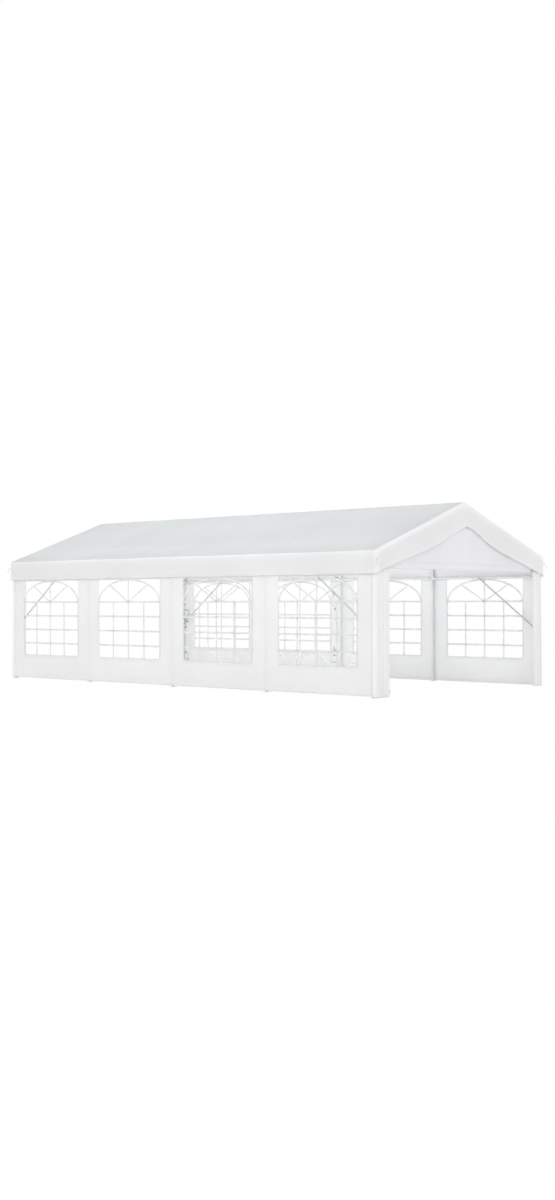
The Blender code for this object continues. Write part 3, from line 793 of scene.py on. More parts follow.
# ---------------------------------------------------------------- gable ends
def gable(end, y_dir):
    """Pleated panel behind the end skirt, from the roof down to a hem across the doorway."""
    low_rows = [0.0, 0.012, 0.0265, 0.0275, 0.055, 0.0885, 0.0895]
    band_top, high_rows = low_rows[-1], 16
    form = bmesh.new()
    grid, edge, run = [], [], []
    for x in spaced(-(HALF_W + 0.018), HALF_W + 0.018, 0.041):
        span = roof_line(x) - roof_sag(x, GABLE_Y) - 0.026 - GABLE_HEM_Z
        rows = [GABLE_HEM_Z + row for row in low_rows]
        rows += [GABLE_HEM_Z + band_top + (span - band_top) * ((k + 1) / high_rows)
                 for k in range(high_rows)]
        skirt_hem = roof_line(x) - DROP
        column = []
        for z in rows:
            above = z - GABLE_HEM_Z
            share = above / span
            hang = clamp(1 - share)
            # Upright pleats, deepest in the middle, and a broad wave.
            pleat = (math.sin(x * 15.0 + 1.6 * noise3(x * 1.5, z * 0.7, 2.0 + y_dir))
                     * (0.35 + 0.65 * bell(x, 0.75)))
            out = 0.0050 * pleat * smooth(hang * 1.6) * smooth(share * 6 + 0.35)
            out += (0.006 * noise3(x * 1.4, z * 1.2, 30 + y_dir)
                    * smooth(share * 3) * smooth((1 - share) * 3))
            # The panel leans outward to meet the skirt.
            lean = smooth((above - 0.02) / max(skirt_hem - GABLE_HEM_Z, 0.10))
            out += 0.036 * lean + 0.0035
            # The doubled band along the hem, and the hem's own flare.
            band = 0.0014 if z < GABLE_HEM_Z + 0.089 else 0.0
            flare = 1 + 0.6 * noise3(x * 3.0, 0, 33 + y_dir)
            out += band + 0.004 * smooth(1 - above / 0.10) * flare
            lift = 0.003 * noise3(x * 2.0, 0, 35 + y_dir) * hang
            y = y_dir * (GABLE_Y + clamp(out, -0.006, 0.044))
            column.append(form.verts.new((x, y, z + lift)))
            edge.append(max(above, 0.0001))
            run.append(x)
        grid.append(column)
    grid_faces(form, grid, forward=y_dir < 0)
    mesh = finish(form, f"gable_{end}", 60, recalc=False)
    add_attributes(mesh, edge=edge, run=run)
    thicken(piece(f"gable_panel_{end}", mesh, "roof_sheet", GABLE, stands_for=["roof_cover"]))


for end, y_dir in ENDS:
    gable(end, y_dir)


# ---------------------------------------------------------------- side walls and windows
def in_window(y, z):
    return any(abs(y - mid) < WIN_HALF for mid in BAY_MIDS) and WIN_Z0 < z < WIN_Z1


def wall_outline():
    """Plan of the right wall sheet, front to rear: (x, y, normal x, normal y)."""
    straight = WALL_END + 0.0005 - CORNER_R
    stations = {round(mid + WIN_HALF * k / 24, 6) for mid in BAY_MIDS for k in range(-24, 25)}
    for portal in PORTALS:
        for offset in (0.0, 0.014, 0.028, 0.055, 0.09, 0.13, 0.17, 0.205, 0.24):
            for y in (portal - offset, portal + offset):
                by_window = any(abs(y - mid) <= WIN_HALF + 0.002 for mid in BAY_MIDS)
                if abs(y) < straight - 0.004 and not by_window:
                    stations.add(round(y, 6))
    stations.update((-straight, straight))
    reach = 0.050  # how far the sheet returns across the end
    corner = [(WALL_X - reach + (reach - CORNER_R) * share, straight + CORNER_R, 0, 1)
              for share in (0.0, 0.5, 1.0)]
    for k in range(1, 5):
        sine, cosine = math.sin(math.radians(18 * k)), math.cos(math.radians(18 * k))
        corner.append((WALL_X - CORNER_R + CORNER_R * sine, straight + CORNER_R * cosine,
                       sine, cosine))
    front = [(x, -y, normal_x, -normal_y) for x, y, normal_x, normal_y in corner]
    return front + [(WALL_X, y, 1, 0) for y in sorted(stations)] + corner[::-1]


def wall_sheet(side, x_dir):
    """Side wall with window openings, wrapped round both end legs."""
    frame_w = 0.015  # doubled frame round each window
    heights = [WALL_Z0 + row for row in HEM_ROWS]
    heights += spaced(WALL_Z0 + 0.06, WIN_Z0 - 0.0165, 0.05)
    heights += [WIN_Z0 - frame_w, WIN_Z0] + spaced(WIN_Z0, WIN_Z1, 0.05)[1:-1]
    heights += [WIN_Z1, WIN_Z1 + frame_w, WIN_Z1 + 0.0165]
    heights += spaced(WIN_Z1 + 0.05, WALL_Z1 - 0.028, 0.06) + [WALL_Z1 - 0.014, WALL_Z1]
    outline = wall_outline()
    form = bmesh.new()
    grid, edge, run = [], [], []
    for x, y, normal_x, normal_y in outline:
        on_face = normal_x > 0.99
        framed = on_face and any(abs(y - mid) < WIN_HALF + 0.0161 for mid in BAY_MIDS)
        seamed = any(abs(y - portal) < 0.0145 for portal in PORTALS[1:-1])
        slack = 0.0035 * noise3(y * 1.7, 0, 50 + x_dir)
        if x_dir > 0:
            slack -= 0.010 * smooth((1.5 - y) / 3)
        column = []
        for z in heights:
            out = wall_bulge(y, z, x_dir) if on_face else 0.0
            out += 0.0012 if z < WALL_Z0 + 0.0285 else 0.0
            if framed and WIN_Z0 - 0.0161 < z < WIN_Z1 + 0.0161:
                out += 0.0010
            # Lapped seam over each middle leg.
            if seamed:
                out += 0.0004
            lift = slack * smooth(1 - (z - WALL_Z0) / 0.3)
            column.append(form.verts.new(
                (x_dir * (x + normal_x * out), y + normal_y * out, z + lift)))
            edge.append(max(min(z - WALL_Z0, WALL_Z1 - z), 0.0001))
            run.append(y)
        grid.append(column)

    def open_at(i, k):
        here, there = outline[i], outline[i + 1]
        return (here[2] > 0.99 and there[2] > 0.99
                and in_window((here[1] + there[1]) / 2, (heights[k] + heights[k + 1]) / 2))

    grid_faces(form, grid, forward=x_dir > 0, skip=open_at)
    keep = [bool(vert.link_faces) for vert in form.verts]
    loose = [vert for vert in form.verts if not vert.link_faces]
    bmesh.ops.delete(form, geom=loose, context="VERTS")
    mesh = finish(form, f"side_wall_sheet_{side}", 50, recalc=False)
    add_attributes(mesh, edge=[value for value, kept in zip(edge, keep) if kept],
                   run=[value for value, kept in zip(run, keep) if kept])
    thicken(piece(f"side_wall_sheet_{side}", mesh, "wall_sheet", WALL,
                  stands_for=[f"side_wall_{side}"]))


def on_wall(x_dir, y, z, lift):
    return Vector((x_dir * (WALL_X + wall_bulge(y, z, x_dir) + lift), y, z))


def window_film(side, x_dir, bay, mid):
    overlap, step = 0.012, 0.030
    rows = spaced(WIN_Z0 - overlap, WIN_Z1 + overlap, step)
    form = bmesh.new()
    grid = []
    for y in spaced(mid - WIN_HALF - overlap, mid + WIN_HALF + overlap, step):
        column = []
        for z in rows:
            inset = smooth(min(WIN_HALF - abs(y - mid), z - WIN_Z0, WIN_Z1 - z) / 0.10)
            wave = (0.0040 * noise3(y * 3.1, z * 2.0, 60 + x_dir)
                    + 0.0022 * abs(noise3(y * 7.0, z * 6.0, 64 + x_dir)))
            place = on_wall(x_dir, y, z, -0.0012 + inset * wave * 0.55)
            column.append(form.verts.new(place))
        grid.append(column)
    grid_faces(form, grid, forward=x_dir > 0)
    mesh = finish(form, f"window_film_{side}_{bay}", 80, recalc=False)
    # The left films of the two front bays have an upright creased band; painted glare follows
    # the band on both sides, and the foot of each film.
    bands = {1: (-0.50, 0.10), 2: (0.90, 0.11)}  # bay: centre and width, in half windows
    crinkle, glow = [], []
    for vert in mesh.vertices:
        band = 0.0
        if bay in bands:
            centre, width = bands[bay]
            band = bell((vert.co.y - mid) / WIN_HALF - centre, width)
        crinkle.append(band if side == "left" else 0.0)
        foot = smooth((WIN_Z0 + 0.30 - vert.co.z) / 0.12) * (1.0 if bay < 3 else 0.4)
        glow.append(clamp(foot + 0.8 * band))
    add_attributes(mesh, crinkle=crinkle, glow=glow)
    obj = piece(f"window_film_{side}_{bay}", mesh, "window_film", FILM,
                stands_for=[f"side_wall_{side}"])
    obj.visible_shadow = False


def strip(form, x_dir, mid, points, width, layer):
    """Flat strip on the film along points of (y from the window's middle, z)."""
    lift = 0.0022 + 0.0010 * layer
    points = [Vector(point) for point in points]
    path = [points[0]]
    for start, stop in zip(points, points[1:]):
        count = max(1, round((stop - start).length / 0.045))
        path += [start + (stop - start) * (k + 1) / count for k in range(count)]
    rings = []
    for i, point in enumerate(path):
        along = (path[min(i + 1, len(path) - 1)] - path[max(i - 1, 0)]).normalized()
        across = Vector((-along.y, along.x)) * (width / 2)
        left, right = point + across, point - across
        rings.append([
            form.verts.new(on_wall(x_dir, mid + place.x, place.y, height))
            for place, height in ((left, lift), (right, lift),
                                  (right, lift + STRIP_T), (left, lift + STRIP_T))])
    loft(form, rings)


def window_strips(side, x_dir, bay, mid):
    """Glazing bars: crossbars, uprights, an arch and two slanting bars below it."""
    inner, border = WIN_HALF - 0.004, WIN_HALF - 0.008
    lines = []  # points, width, layer
    for z in (0.612, 0.843, 1.074, WIN_SPRING):
        lines.append(([(-inner, z), (inner, z)], STRIP_W, 0))
    lines.append(([(-inner, WIN_Z0 + 0.007), (inner, WIN_Z0 + 0.006)], STRIP_W * 0.4, 0))
    for y in (-border, border):
        lines.append(([(y, WIN_Z0), (y, WIN_SPRING)], STRIP_W * 0.5, 1))
    for y in (-WIN_HALF / 2, WIN_HALF / 2):
        lines.append(([(y, WIN_Z0), (y, WIN_SPRING)], STRIP_W, 1))
    lines.append(([(0, WIN_Z0), (0, WIN_Z1 - 0.012)], STRIP_W, 1))
    rise = WIN_Z1 - WIN_SPRING - 0.012
    arch = [((WIN_HALF - 0.010) * math.cos(math.pi * k / 32),
             WIN_SPRING + rise * math.sin(math.pi * k / 32)) for k in range(33)]
    lines.append((arch, STRIP_W, 2))
    for slant in (-0.448, 0.448):
        lines.append(([(0.0, WIN_SPRING), (slant, WIN_SPRING + 0.268)], STRIP_W * 0.9, 3))
    form = bmesh.new()
    for points, width, layer in lines:
        strip(form, x_dir, mid, points, width, layer)
    name = f"window_strips_{side}_{bay}"
    piece(name, finish(form, name, 30), "window_strip", STRIP,
          stands_for=[f"side_wall_{side}"])


for side, x_dir in SIDES:
    wall_sheet(side, x_dir)
    for bay, mid in enumerate(BAY_MIDS, 1):
        window_film(side, x_dir, bay, mid)
        window_strips(side, x_dir, bay, mid)

# ---------------------------------------------------------------- curtain doors
WRAP_X = WALL_X + 0.0060  # the curtain laps outside the side wall
TURN_R = 0.026  # then turns round the end leg
FOLDS_X = WRAP_X - TURN_R  # and is folded from here inward
BIG_FOLDS, SMALL_FOLDS = 3.1, 8.3  # waves across the bundle
PUFF = {("front", "right"): 0.030, ("rear", "left"): 0.036}  # bundles that stand off the leg


def curtain_plan(in_x, y_mid):
    """Plan without its folds, from outside the wall inward: (x, y, share of folded run)."""
    face_y = WALL_END + 0.0085 + TURN_R
    wall_y = face_y - TURN_R
    plan = [(WALL_X + 0.0018, wall_y - 0.052, 0.0), (WALL_X + 0.0032, wall_y - 0.026, 0.0),
            (WRAP_X, wall_y, 0.0)]
    for k in range(1, 7):
        angle = math.radians(90 * k / 6)
        plan.append((FOLDS_X + TURN_R * math.cos(angle), wall_y + TURN_R * math.sin(angle),
                     0.0))
    count = 104
    for k in range(1, count + 1):
        share = k / count
        plan.append((FOLDS_X - (FOLDS_X - in_x) * share,
                     face_y + (y_mid - face_y) * smooth(share * 3), share))
    return plan


def curtain(end, y_dir, side, x_dir):
    """Drawn curtain bundled against its end leg, with a plain edge strip and a zip."""
    body = f"door_{end}_{side}"
    low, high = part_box(body)
    tape_x = min(abs(low.x), abs(high.x))
    in_x = tape_x + 0.025
    y_mid = (abs(low.y) + abs(high.y)) / 2
    depth = (high.y - low.y) / 2
    z_low, z_high = low.z - 0.014, high.z
    seed = 70 + 3 * y_dir + x_dir
    puff = PUFF.get((end, side), 0.006)
    heights = [z_low + row for row in HEM_ROWS]
    heights += spaced(z_low + 0.07, z_high - 0.05, 0.06) + [z_high - 0.014, z_high]
    form = bmesh.new()
    grid, edge, run, fold = [], [], [], []

    def add_column(places, length, layers):
        grid.append([form.verts.new((x_dir * x, y_dir * y, z)) for x, y, z in places])
        for z in heights:
            edge.append(max(min(z - z_low, z_high - z), 0.0001))
            run.append(length)
            fold.append(layers)

    plan = curtain_plan(in_x, y_mid)
    total = 0.0
    for i, (plan_x, plan_y, share) in enumerate(plan):
        if i:
            step = math.hypot(plan_x - plan[i - 1][0], plan_y - plan[i - 1][1])
            total += step * (1.0 if share == 0 else 1.8)
        drift = 0.10 * math.sin(6.0 * share + seed)
        big = math.sin(2 * math.pi * (BIG_FOLDS * share + drift))
        drift = 0.2 * math.sin(9.0 * share + seed)
        small = math.sin(2 * math.pi * (SMALL_FOLDS * share + drift))
        ease = smooth(share * 9) * smooth((1 - share) * 12)
        places = []
        for z in heights:
            up = (z - z_low) / (z_high - z_low)
            swing = (depth * (0.28 + 0.18 * (1 - up))
                     * (0.9 + 0.25 * noise3(share * 2.5, z * 0.8, seed)))
            y = plan_y + ease * (swing * big + depth * 0.10 * small * (1 - 0.5 * up)
                                 + 0.0035 * noise3(share * 5, z * 1.6, seed + 5))
            x = plan_x + ease * (0.006 * math.cos(2 * math.pi * BIG_FOLDS * share)
                                 + 0.012 * noise3(share * 2.0, z * 1.1, seed + 9))
            y = min(y, y_mid + depth - 0.001)
            if share > 0.12:
                y = max(y, y_mid - depth + 0.001)
            if share > 0:
                x = clamp(x, in_x - 0.004, WRAP_X)
            # The bundle stands away from the end leg, most of all near the ground.
            y += (puff * (0.45 + 0.55 * (1 - up)) * smooth((i - 2) / 6)
                  * (1 - smooth((share - 0.30) / 0.55)))
            places.append((x, y, z))
        # The fold value whitens the wrap over the wall and the turn round the leg, which lie
        # doubled, partly as painted highlight, and the crests of the big folds as painted
        # highlight alone.
        turn = 1.5 if i < 3 else 1.0 if share == 0 else smooth((0.07 - share) / 0.06)
        layers = 0.5 * turn + 0.30 * smooth((big - 0.2) / 0.8) * smooth(share * 8)
        add_column(places, total, clamp(layers))
    # The plain strip between the last fold and the zip.
    for x in (in_x - 0.008, in_x - 0.0135):
        add_column([(x, y_mid, z) for z in heights], total + in_x - x, 0.0)
    grid_faces(form, grid, forward=x_dir != y_dir)
    mesh = finish(form, f"curtain_{end}_{side}", 60, recalc=False)
    add_attributes(mesh, edge=edge, run=run, fold=fold)
    obj = piece(f"curtain_{end}_{side}", mesh, "door_sheet", DOOR, body=None,
                stands_for=[body])
    thicken(obj, offset=0.0)
    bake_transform(obj)
    zip_tape(f"zip_tape_{end}_{side}", body, x_dir, y_dir * y_mid, tape_x, in_x, z_low, z_high)


def zip_tape(name, body, x_dir, y, tape_x, in_x, z_low, z_high):
    """Tape with a row of teeth; the two sides' teeth are half a pitch apart."""
    form = bmesh.new()

    def slab(x_from, x_to, half, bottom, top):
        near, far = sorted((x_dir * x_from, x_dir * x_to))
        outline = ((near, -half), (far, -half), (far, half), (near, half))
        lower, upper = [[form.verts.new((x, y + out, z)) for x, out in outline]
                        for z in (bottom, top)]
        form.faces.new(lower[::-1])
        form.faces.new(upper)
        join_rings(form, lower, upper)

    slab(tape_x + 0.0040, in_x - 0.0100, 0.0006, z_low + 0.004, z_high - 0.004)
    pitch = 0.0085
    for k in range(int((z_high - z_low - 0.03) / pitch)):
        bottom = z_low + 0.015 + k * pitch + (pitch / 2 if x_dir > 0 else 0)
        slab(tape_x + 0.0002, tape_x + 0.0062, 0.0012, bottom, bottom + 0.0048)
    piece(name, finish(form, name, 30), "zip_plastic", ZIP, body=body, stands_for=[body])


def zip_slider(end):
    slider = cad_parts[f"zip_slider_{end}"]
    slider.data.materials.clear()
    slider.data.materials.append(ZIP)
    bevel = slider.modifiers.new("edges", "BEVEL")
    bevel.width = 0.0006
    bevel.segments = 2
    bevel.limit_method = "ANGLE"
    bevel.angle_limit = math.radians(40)


for end, y_dir in ENDS:
    for side, x_dir in SIDES:
        curtain(end, y_dir, side, x_dir)
    zip_slider(end)


# ---------------------------------------------------------------- tubes
def tube_piece(name, form, material=TUBE):
    piece(name + "_tube", finish(form, name, 35), "frame_tube", material, stands_for=[name])


def foot_plate(form, x, y):
    """Square plate with rounded corners and a small edge break."""
    thick, corner, bevel, steps = 0.004, 0.010, 0.0006, 5
    levels = ((bevel, 0.0), (0, bevel), (0, thick - bevel), (bevel, thick))  # inset, z
    rings = []
    for inset, z in levels:
        ring = []
        for quad_x, quad_y, first in ((1, 1, 0), (-1, 1, 90), (-1, -1, 180), (1, -1, 270)):
            for k in range(steps + 1):
                angle = math.radians(first + 90 * k / steps)
                radius = corner - inset
                ring.append(form.verts.new((
                    x + quad_x * (FOOT - corner) + radius * math.cos(angle),
                    y + quad_y * (FOOT - corner) + radius * math.sin(angle), z)))
        rings.append(ring)
    loft(form, rings)


def leg(name, x, y):
    form = bmesh.new()
    foot_plate(form, x, y)
    profile = [  # height, radius; a weld bead runs round the foot of the tube
        (0.0036, TUBE_R + 0.0050), (0.0058, TUBE_R + 0.0044), (0.0085, TUBE_R + 0.0020),
        (0.0100, TUBE_R), (LEG_TOP - TUBE_LIP, TUBE_R), (LEG_TOP, TUBE_R - TUBE_LIP),
        (LEG_TOP, TUBE_R - TUBE_WALL), (0.0060, TUBE_R - TUBE_WALL),
        (0.0036, TUBE_R - TUBE_WALL),
    ]
    swept(form, profile, (x, y, 0), (0, 0, 1))
    tube_piece(name, form)


def plain_tube(name, start, stop):
    start, stop = Vector(start), Vector(stop)
    length = (stop - start).length
    inner = TUBE_R - TUBE_WALL
    profile = [(TUBE_LIP, TUBE_R), (length - TUBE_LIP, TUBE_R), (length, TUBE_R - TUBE_LIP),
               (length, inner), (0, inner), (0, TUBE_R - TUBE_LIP)]
    form = bmesh.new()
    swept(form, profile, start, stop - start)
    tube_piece(name, form)


def rafter_up(x_dir):
    return Vector((-x_dir * LEFT_UP.x, 0, LEFT_UP.z))


for side, x_dir in SIDES:
    leg_x = x_dir * HALF_W
    for i, y in enumerate(PORTALS, 1):
        leg(f"leg_{side}_{i}", leg_x, y)
        knee = Vector((leg_x, y, NODE_KNEE))
        length = (Vector((0, y, NODE_RIDGE)) - knee).length
        plain_tube(f"rafter_{side}_{i}", knee + rafter_up(x_dir) * TUBE_GAP,
                   knee + rafter_up(x_dir) * (length - TUBE_GAP))
    for i in range(4):
        plain_tube(f"side_rail_{side}_{i + 1}", (leg_x, PORTALS[i] + RAIL_GAP, RAIL_Z),
                   (leg_x, PORTALS[i + 1] - RAIL_GAP, RAIL_Z))
for i in range(4):
    plain_tube(f"ridge_tube_{i + 1}", (0, PORTALS[i] + RAIL_GAP, NODE_RIDGE),
               (0, PORTALS[i + 1] - RAIL_GAP, NODE_RIDGE))


def brace_ends(end, y_dir, side):
    low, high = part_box(f"brace_{end}_{side}")
    x = (low.x + high.x) / 2
    return (Vector((x, y_dir * HALF_L, BRACE_Z)),
            Vector((x, y_dir * (HALF_L - BRACE_RUN), RAIL_Z)))


def brace(end, y_dir, side):
    """Round tube with pressed flat ends, from a leg up to the side rail."""
    foot, head = brace_ends(end, y_dir, side)
    along = (head - foot).normalized()
    span = (head - foot).length
    thin = Vector((1, 0, 0))
    wide = along.cross(thin).normalized()
    stations = [  # distance along from the bolt, half width, half thickness
        (-0.016, 0.0085, 0.0012), (-0.0150, 0.0115, 0.0020), (-0.011, 0.0148, 0.0020),
        (-0.004, 0.0166, 0.0020), (0.022, 0.0170, 0.0020), (0.030, 0.0166, 0.0026),
        (0.038, 0.0156, 0.0050), (0.047, 0.0142, 0.0086), (0.056, 0.0130, 0.0116),
        (0.066, BRACE_R, BRACE_R),
    ]
    stations += [(span - distance, width, thick) for distance, width, thick in stations[::-1]]
    segments = 24
    form = bmesh.new()
    rings = []
    for distance, width, thick in stations:
        ring = []
        for k in range(segments):
            angle = 2 * math.pi * k / segments
            ring.append(form.verts.new(foot + along * distance
                                       + wide * (width * math.cos(angle))
                                       + thin * (thick * math.sin(angle))))
        rings.append(ring)
    loft(form, rings)
    tube_piece(f"brace_{end}_{side}", form, BRACE)


for end, y_dir, side, x_dir in CORNERS:
    brace(end, y_dir, side)


# ---------------------------------------------------------------- connectors
def rod(start, stop, radius, chamfer=0.0008):
    """Solid cylinder as a working object."""
    start, stop = Vector(start), Vector(stop)
    length = (stop - start).length
    profile = [(0, radius - chamfer), (chamfer, radius),
               (length - chamfer, radius), (length, radius - chamfer)]
    form = bmesh.new()
    swept(form, profile, start, stop - start, 32, closed=False)
    return new_object("joint_work", finish(form, "joint_work"))


def bore(start, stop):
    return rod(start, stop, SLEEVE_IN, chamfer=0.0001)


def merged(name, parts, cuts):
    """Mesh of the parts joined together, less the cuts."""
    base = parts[0]
    for operation, group in (("UNION", parts[1:]), ("DIFFERENCE", cuts)):
        for other in group:
            modifier = base.modifiers.new("work", "BOOLEAN")
            modifier.operation = operation
            modifier.solver = "EXACT"
            modifier.object = other
    bpy.context.view_layer.update()
    evaluated = base.evaluated_get(bpy.context.evaluated_depsgraph_get())
    mesh = bpy.data.meshes.new_from_object(evaluated)
    mesh.name = name
    mesh.materials.clear()
    for obj in parts + cuts:
        bpy.data.objects.remove(obj)
    mesh.shade_smooth()
    mesh.set_sharp_from_angle(angle=math.radians(30))
    mesh.materials.append(JOINT)
    return mesh


# The radii of crossing sleeves differ by 0.1 mm, so that no two skins coincide.
def knee_mesh(name, rails):
    """Left knee about a leg's axis: leg and rafter sleeves, and a rail sleeve each way."""
    top, rail = Vector((0, 0, NODE_KNEE)), Vector((0, 0, RAIL_Z))

    def out(way, distance):
        return rail + Vector((0, way * distance, 0))

    parts = [rod((0, 0, KNEE_Z0), top + Vector((0, 0, 0.006)), SLEEVE_R),
             rod(top - LEFT_UP * 0.012, top + LEFT_UP * RAFTER_REACH, SLEEVE_R - 0.0001)]
    parts += [rod(rail, out(way, RAIL_REACH), SLEEVE_R - 0.0002) for way in rails]
    # Weld beads round each rail sleeve.
    parts += [rod(out(way, 0.0205), out(way, 0.0255), SLEEVE_R + 0.0014, chamfer=0.0014)
              for way in rails]
    cuts = [bore((0, 0, KNEE_Z0 - 0.01), (0, 0, LEG_TOP + 0.002)),
            bore(top + LEFT_UP * 0.040, top + LEFT_UP * (RAFTER_REACH + 0.01))]
    cuts += [bore(out(way, 0.028), out(way, RAIL_REACH + 0.01)) for way in rails]
    return merged(name, parts, cuts)


def ridge_mesh(name, ways):
    """Ridge joint about its node: two rafter sleeves and a ridge sleeve each way."""
    downs = [Vector((x_dir * LEFT_UP.x, 0, -LEFT_UP.z)) for x_dir in (-1, 1)]
    parts = [rod(-down * 0.008, down * RAFTER_REACH, radius)
             for down, radius in zip(downs, (SLEEVE_R - 0.0001, SLEEVE_R - 0.0002))]
    parts += [rod((0, -way * 0.012, 0), (0, way * RAIL_REACH, 0),
                  SLEEVE_R - 0.0003 - 0.0001 * (way > 0)) for way in ways]
    cuts = [bore(down * 0.040, down * (RAFTER_REACH + 0.01)) for down in downs]
    cuts += [bore((0, way * 0.028, 0), (0, way * (RAIL_REACH + 0.01), 0)) for way in ways]
    return merged(name, parts, cuts)


def place_joint(name, mesh, location, turned):
    obj = new_object(name + "_body", mesh)
    obj.location = location
    if turned:
        obj.rotation_euler = (0, 0, math.pi)
    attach(obj, ROOT)
    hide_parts(name)


knee_mid = knee_mesh("knee_mid", (-1, 1))
knee_a = knee_mesh("knee_a", (1,))
knee_b = knee_mesh("knee_b", (-1,))
ridge_mid = ridge_mesh("ridge_mid", (-1, 1))
ridge_end = ridge_mesh("ridge_end", (1,))
for side, x_dir in SIDES:
    for i, y in enumerate(PORTALS):
        # Right knees are turned half round, which swaps the two end shapes.
        end_knee = knee_a if (i == 0) == (x_dir < 0) else knee_b
        place_joint(f"knee_connector_{side}_{i + 1}", knee_mid if 0 < i < 4 else end_knee,
                    (x_dir * HALF_W, y, 0), turned=x_dir > 0)
for i, y in enumerate(PORTALS):
    place_joint(f"ridge_connector_{i + 1}", ridge_mid if 0 < i < 4 else ridge_end,
                (0, y, NODE_RIDGE), turned=i == 4)


# ---------------------------------------------------------------- buttons, bolts, wing nuts
def button(form, centre, axis):
    """Spring button standing out of a sleeve whose axis passes through centre."""
    capsule(form, centre + axis * (SLEEVE_R - 0.004), axis, 0.0042, 0.0085, segments=14)


def spring_buttons():
    on_rafter, on_rail, on_leg = 0.105, 0.075, 0.045  # places along the sleeves
    form = bmesh.new()
    for side, x_dir in SIDES:
        inward = Vector((-x_dir, 0, 0))
        up = rafter_up(x_dir)
        under = Vector((-x_dir * LEFT_UP.z, 0, -LEFT_UP.x))
        for y in PORTALS:
            button(form, Vector((x_dir * HALF_W, y, KNEE_Z0 + on_leg)), inward)
            knee = Vector((x_dir * HALF_W, y, NODE_KNEE))
            button(form, knee + up * on_rafter, under)
            button(form, Vector((0, y, NODE_RIDGE)) - up * on_rafter, under)
            for way in (-1, 1):
                if abs(y + way * 0.1) < HALF_L:
                    rail_y = y + way * on_rail
                    button(form, Vector((x_dir * HALF_W, rail_y, RAIL_Z)), inward)
                    if x_dir > 0:
                        button(form, Vector((0, rail_y, NODE_RIDGE)), Vector((0, 0, -1)))
    piece("spring_buttons", finish(form, "spring_buttons"), "frame_tube", ZINC)


def wing_nut(form, point, inward):
    """Washer, hexagonal nut, bolt end and two wings."""
    capsule(form, point + inward * 0.0021, inward, 0.0085, 0.0015, segments=24,
            round_by=0.0005)
    nut = [(0.0036, 0.0058), (0.0044, 0.0066), (0.0082, 0.0066), (0.0090, 0.0058)]
    swept(form, nut, point, inward, 6, closed=False)
    capsule(form, point + inward * 0.0085, inward, 0.0030, 0.0080, segments=12,
            round_by=0.001)
    wing = ((0.0065, 0.004, 0), (0.010, 0.011, 0.003), (0.014, 0.017, 0.006))  # inward, y, z
    for way in (-1, 1):
        path = [point + inward * out + Vector((0, way * y, z)) for out, y, z in wing]
        cord(form, path, 0.0026, segments=8)


def wing_nuts():
    form = bmesh.new()
    for end, y_dir, side, x_dir in CORNERS:
        for point in brace_ends(end, y_dir, side):
            wing_nut(form, point, Vector((-x_dir, 0, 0)))
    piece("brace_wing_nuts", finish(form, "brace_wing_nuts"), "connector", ZINC)


spring_buttons()
wing_nuts()


# ---------------------------------------------------------------- cords, eyelets, bungees
def eyelet(form, anchor, y_dir):
    """Ring facing along Y."""
    major, minor = 0.0085, 0.0022
    turn = Vector((0, y_dir, 0)).to_track_quat("Z", "Y")
    rings = []
    for i in range(24):
        around = 2 * math.pi * i / 24
        ring = []
        for k in range(8):
            angle = 2 * math.pi * k / 8
            radius = major + minor * math.cos(angle)
            place = Vector((radius * math.cos(around), radius * math.sin(around),
                            minor * math.sin(angle)))
            ring.append(form.verts.new(anchor + turn @ place))
        rings.append(ring)
    loft(form, rings, closed=True)


def corner_cord(form, anchor, x_dir, y_dir):
    """Cord through an eyelet, knotted, with two loose ends."""
    def offset(x, y, z):
        return Vector((x_dir * x, y_dir * y, z))

    knot = anchor + offset(0.042, 0.012, -0.030)
    ends = (
        [anchor + offset(0, -0.006, 0), anchor + offset(0.014, 0.010, -0.004), knot,
         knot + offset(0.020, 0.020, -0.038), knot + offset(0.046, 0.034, -0.062)],
        [anchor + offset(0, -0.006, -0.002), anchor + offset(0.010, 0.012, -0.016), knot,
         knot + offset(0.004, 0.012, -0.040), knot + offset(-0.004, 0.008, -0.088)],
    )
    for points in ends:
        cord(form, smooth_path(points), 0.0028)
    capsule(form, knot - offset(0.006, 0, -0.006), (x_dir, 0, -0.9), 0.0070, 0.016,
            segments=14)


def corner_ties():
    """An eyelet and its cord near each top corner of the end skirts."""
    cords, eyelets = bmesh.new(), bmesh.new()
    for end, y_dir, side, x_dir in CORNERS:
        anchor = Vector((x_dir * (EAVE_X - 0.030), y_dir * (END_Y + 0.002), EAVE_Z - 0.095))
        eyelet(eyelets, anchor, y_dir)
        corner_cord(cords, anchor, x_dir, y_dir)
    piece("corner_cords", finish(cords, "corner_cords", 60), "cord", CORD)
    piece("corner_eyelets", finish(eyelets, "corner_eyelets", 60), "connector", ZINC)


def bungees():
    """Short elastic loops round the side rails, each with a ball on the inside."""
    loop_r, ball_r = TUBE_R + 0.0022, 0.0120
    balls, loops = bmesh.new(), bmesh.new()
    for side, x_dir in SIDES:
        for y in [mid + offset for mid in BAY_MIDS for offset in (-0.62, -0.21, 0.21, 0.62)]:
            path = []
            for k in range(20):
                angle = 2 * math.pi * k / 20
                path.append(Vector((x_dir * (HALF_W + loop_r * math.cos(angle)),
                                    y + 0.004 * math.sin(angle * 0.5),
                                    RAIL_Z + loop_r * math.sin(angle))))
            cord(loops, path, 0.0018, closed=True, segments=8)
            centre = Vector((x_dir * (HALF_W - loop_r - 0.0115), y, RAIL_Z - 0.002))
            bmesh.ops.create_uvsphere(balls, u_segments=18, v_segments=12, radius=ball_r,
                                      matrix=Matrix.Translation(centre))
    piece("bungee_balls", finish(balls, "bungee_balls", 80), "zip_plastic", BALL)
    piece("bungee_loops", finish(loops, "bungee_loops", 80), "cord", CORD)


corner_ties()
bungees()


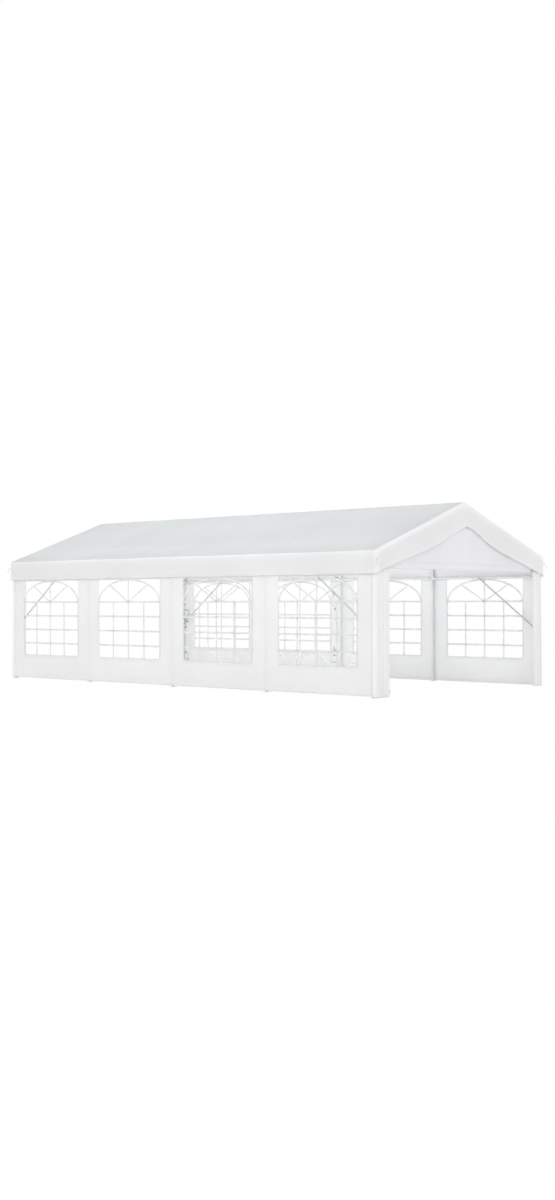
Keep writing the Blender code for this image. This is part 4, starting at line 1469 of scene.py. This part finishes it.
# ---------------------------------------------------------------- floor, light, camera
def studio_floor():
    form = bmesh.new()
    bmesh.ops.create_grid(form, x_segments=8, y_segments=8, size=90.0)
    floor = new_object("studio_floor", finish(form, "studio_floor"))
    floor.location = (0, 0, -0.001)
    floor.data.materials.append(floor_material(lift=0.965))


def studio_world(scene):
    """Light paler towards the horizon; the camera sees plain white."""
    world = bpy.data.worlds.new("studio")
    scene.world = world
    world.use_nodes = True
    world.node_tree.nodes.clear()
    tree = Nodes(world.node_tree)
    axes = tree.add("SeparateXYZ", {0: tree.add("TexCoord").outputs["Generated"]})
    sky = tree.ramp(tree.math("ABSOLUTE", axes.outputs[2]), (0.0, 1.0),
                    (0.30, (0.92, 0.922, 0.925)), (1.0, (0.62, 0.626, 0.632)))
    soft = tree.add("Background", {"Color": sky, "Strength": 1.24})
    white = tree.add("Background", {"Color": rgba(1), "Strength": 1.0})
    seen = tree.add("LightPath").outputs["Is Camera Ray"]
    both = tree.mix_shaders(seen, soft.outputs[0], white.outputs[0])
    tree.add("OutputWorld", {"Surface": both})


def area_light(name, place, target, power, size, size_y=None, colour=(1, 1, 1)):
    """Disk, or a rectangle where size_y is given."""
    lamp = bpy.data.lights.new(name, "AREA")
    lamp.shape = "RECTANGLE" if size_y else "DISK"
    lamp.size = size
    if size_y:
        lamp.size_y = size_y
    lamp.energy = power
    lamp.color = colour
    obj = new_object(name, lamp)
    obj.location = place
    aim = Vector(target) - Vector(place)
    obj.rotation_euler = aim.to_track_quat("-Z", "Y").to_euler()
    obj.visible_camera = False


def point_light(name, place, power, radius):
    lamp = bpy.data.lights.new(name, "POINT")
    lamp.energy = power
    lamp.shadow_soft_size = radius
    obj = new_object(name, lamp)
    obj.location = place
    obj.visible_camera = False


def lights():
    area_light("soft_key", place=(-33, -21, 13.5), target=(0, 2, 1), power=1690, size=21,
               colour=(1.0, 1.0, 0.998))
    # Light bounced up from the floor under the roof.
    area_light("floor_bounce", place=(0, 0, 0.012), target=(0, 0, 1), power=27, size=3.3,
               size_y=7.4)
    # Light from the bright sheet overhead reaches the shaded strip of wall above the rails.
    for side, x_dir in SIDES:
        area_light(f"eave_fill_{side}", place=(x_dir * 1.30, 0, 1.93),
                   target=(x_dir * 2.0, 0, 1.83), power=7.0, size=7.96, size_y=0.12)
    for k, y in enumerate((-2.4, 0.0, 2.4)):
        point_light(f"room_glow_{k}", place=(0, y, 1.84), power=9.5, radius=0.45)


def add_camera(scene, place, lens, yaw, pitch, roll):
    """Yaw is measured from +Y towards +X; all angles in degrees."""
    yaw, pitch, roll = math.radians(yaw), math.radians(pitch), math.radians(roll)
    data = bpy.data.cameras.new("camera")
    data.sensor_width = 36.0
    data.lens = lens
    data.clip_end = 400.0
    camera = new_object("camera", data)
    camera.location = place
    look = Vector((math.sin(yaw) * math.cos(pitch), math.cos(yaw) * math.cos(pitch),
                   math.sin(pitch)))
    camera.rotation_mode = "QUATERNION"
    camera.rotation_quaternion = Quaternion(look, -roll) @ look.to_track_quat("-Z", "Y")
    scene.camera = camera


scene = bpy.context.scene
scene.view_settings.view_transform = "Standard"
scene.view_settings.look = "None"
studio_floor()
studio_world(scene)
lights()
add_camera(scene, place=(-16.958, -16.347, 1.287), lens=43.09, yaw=46.672, pitch=0.112,
           roll=-0.088)
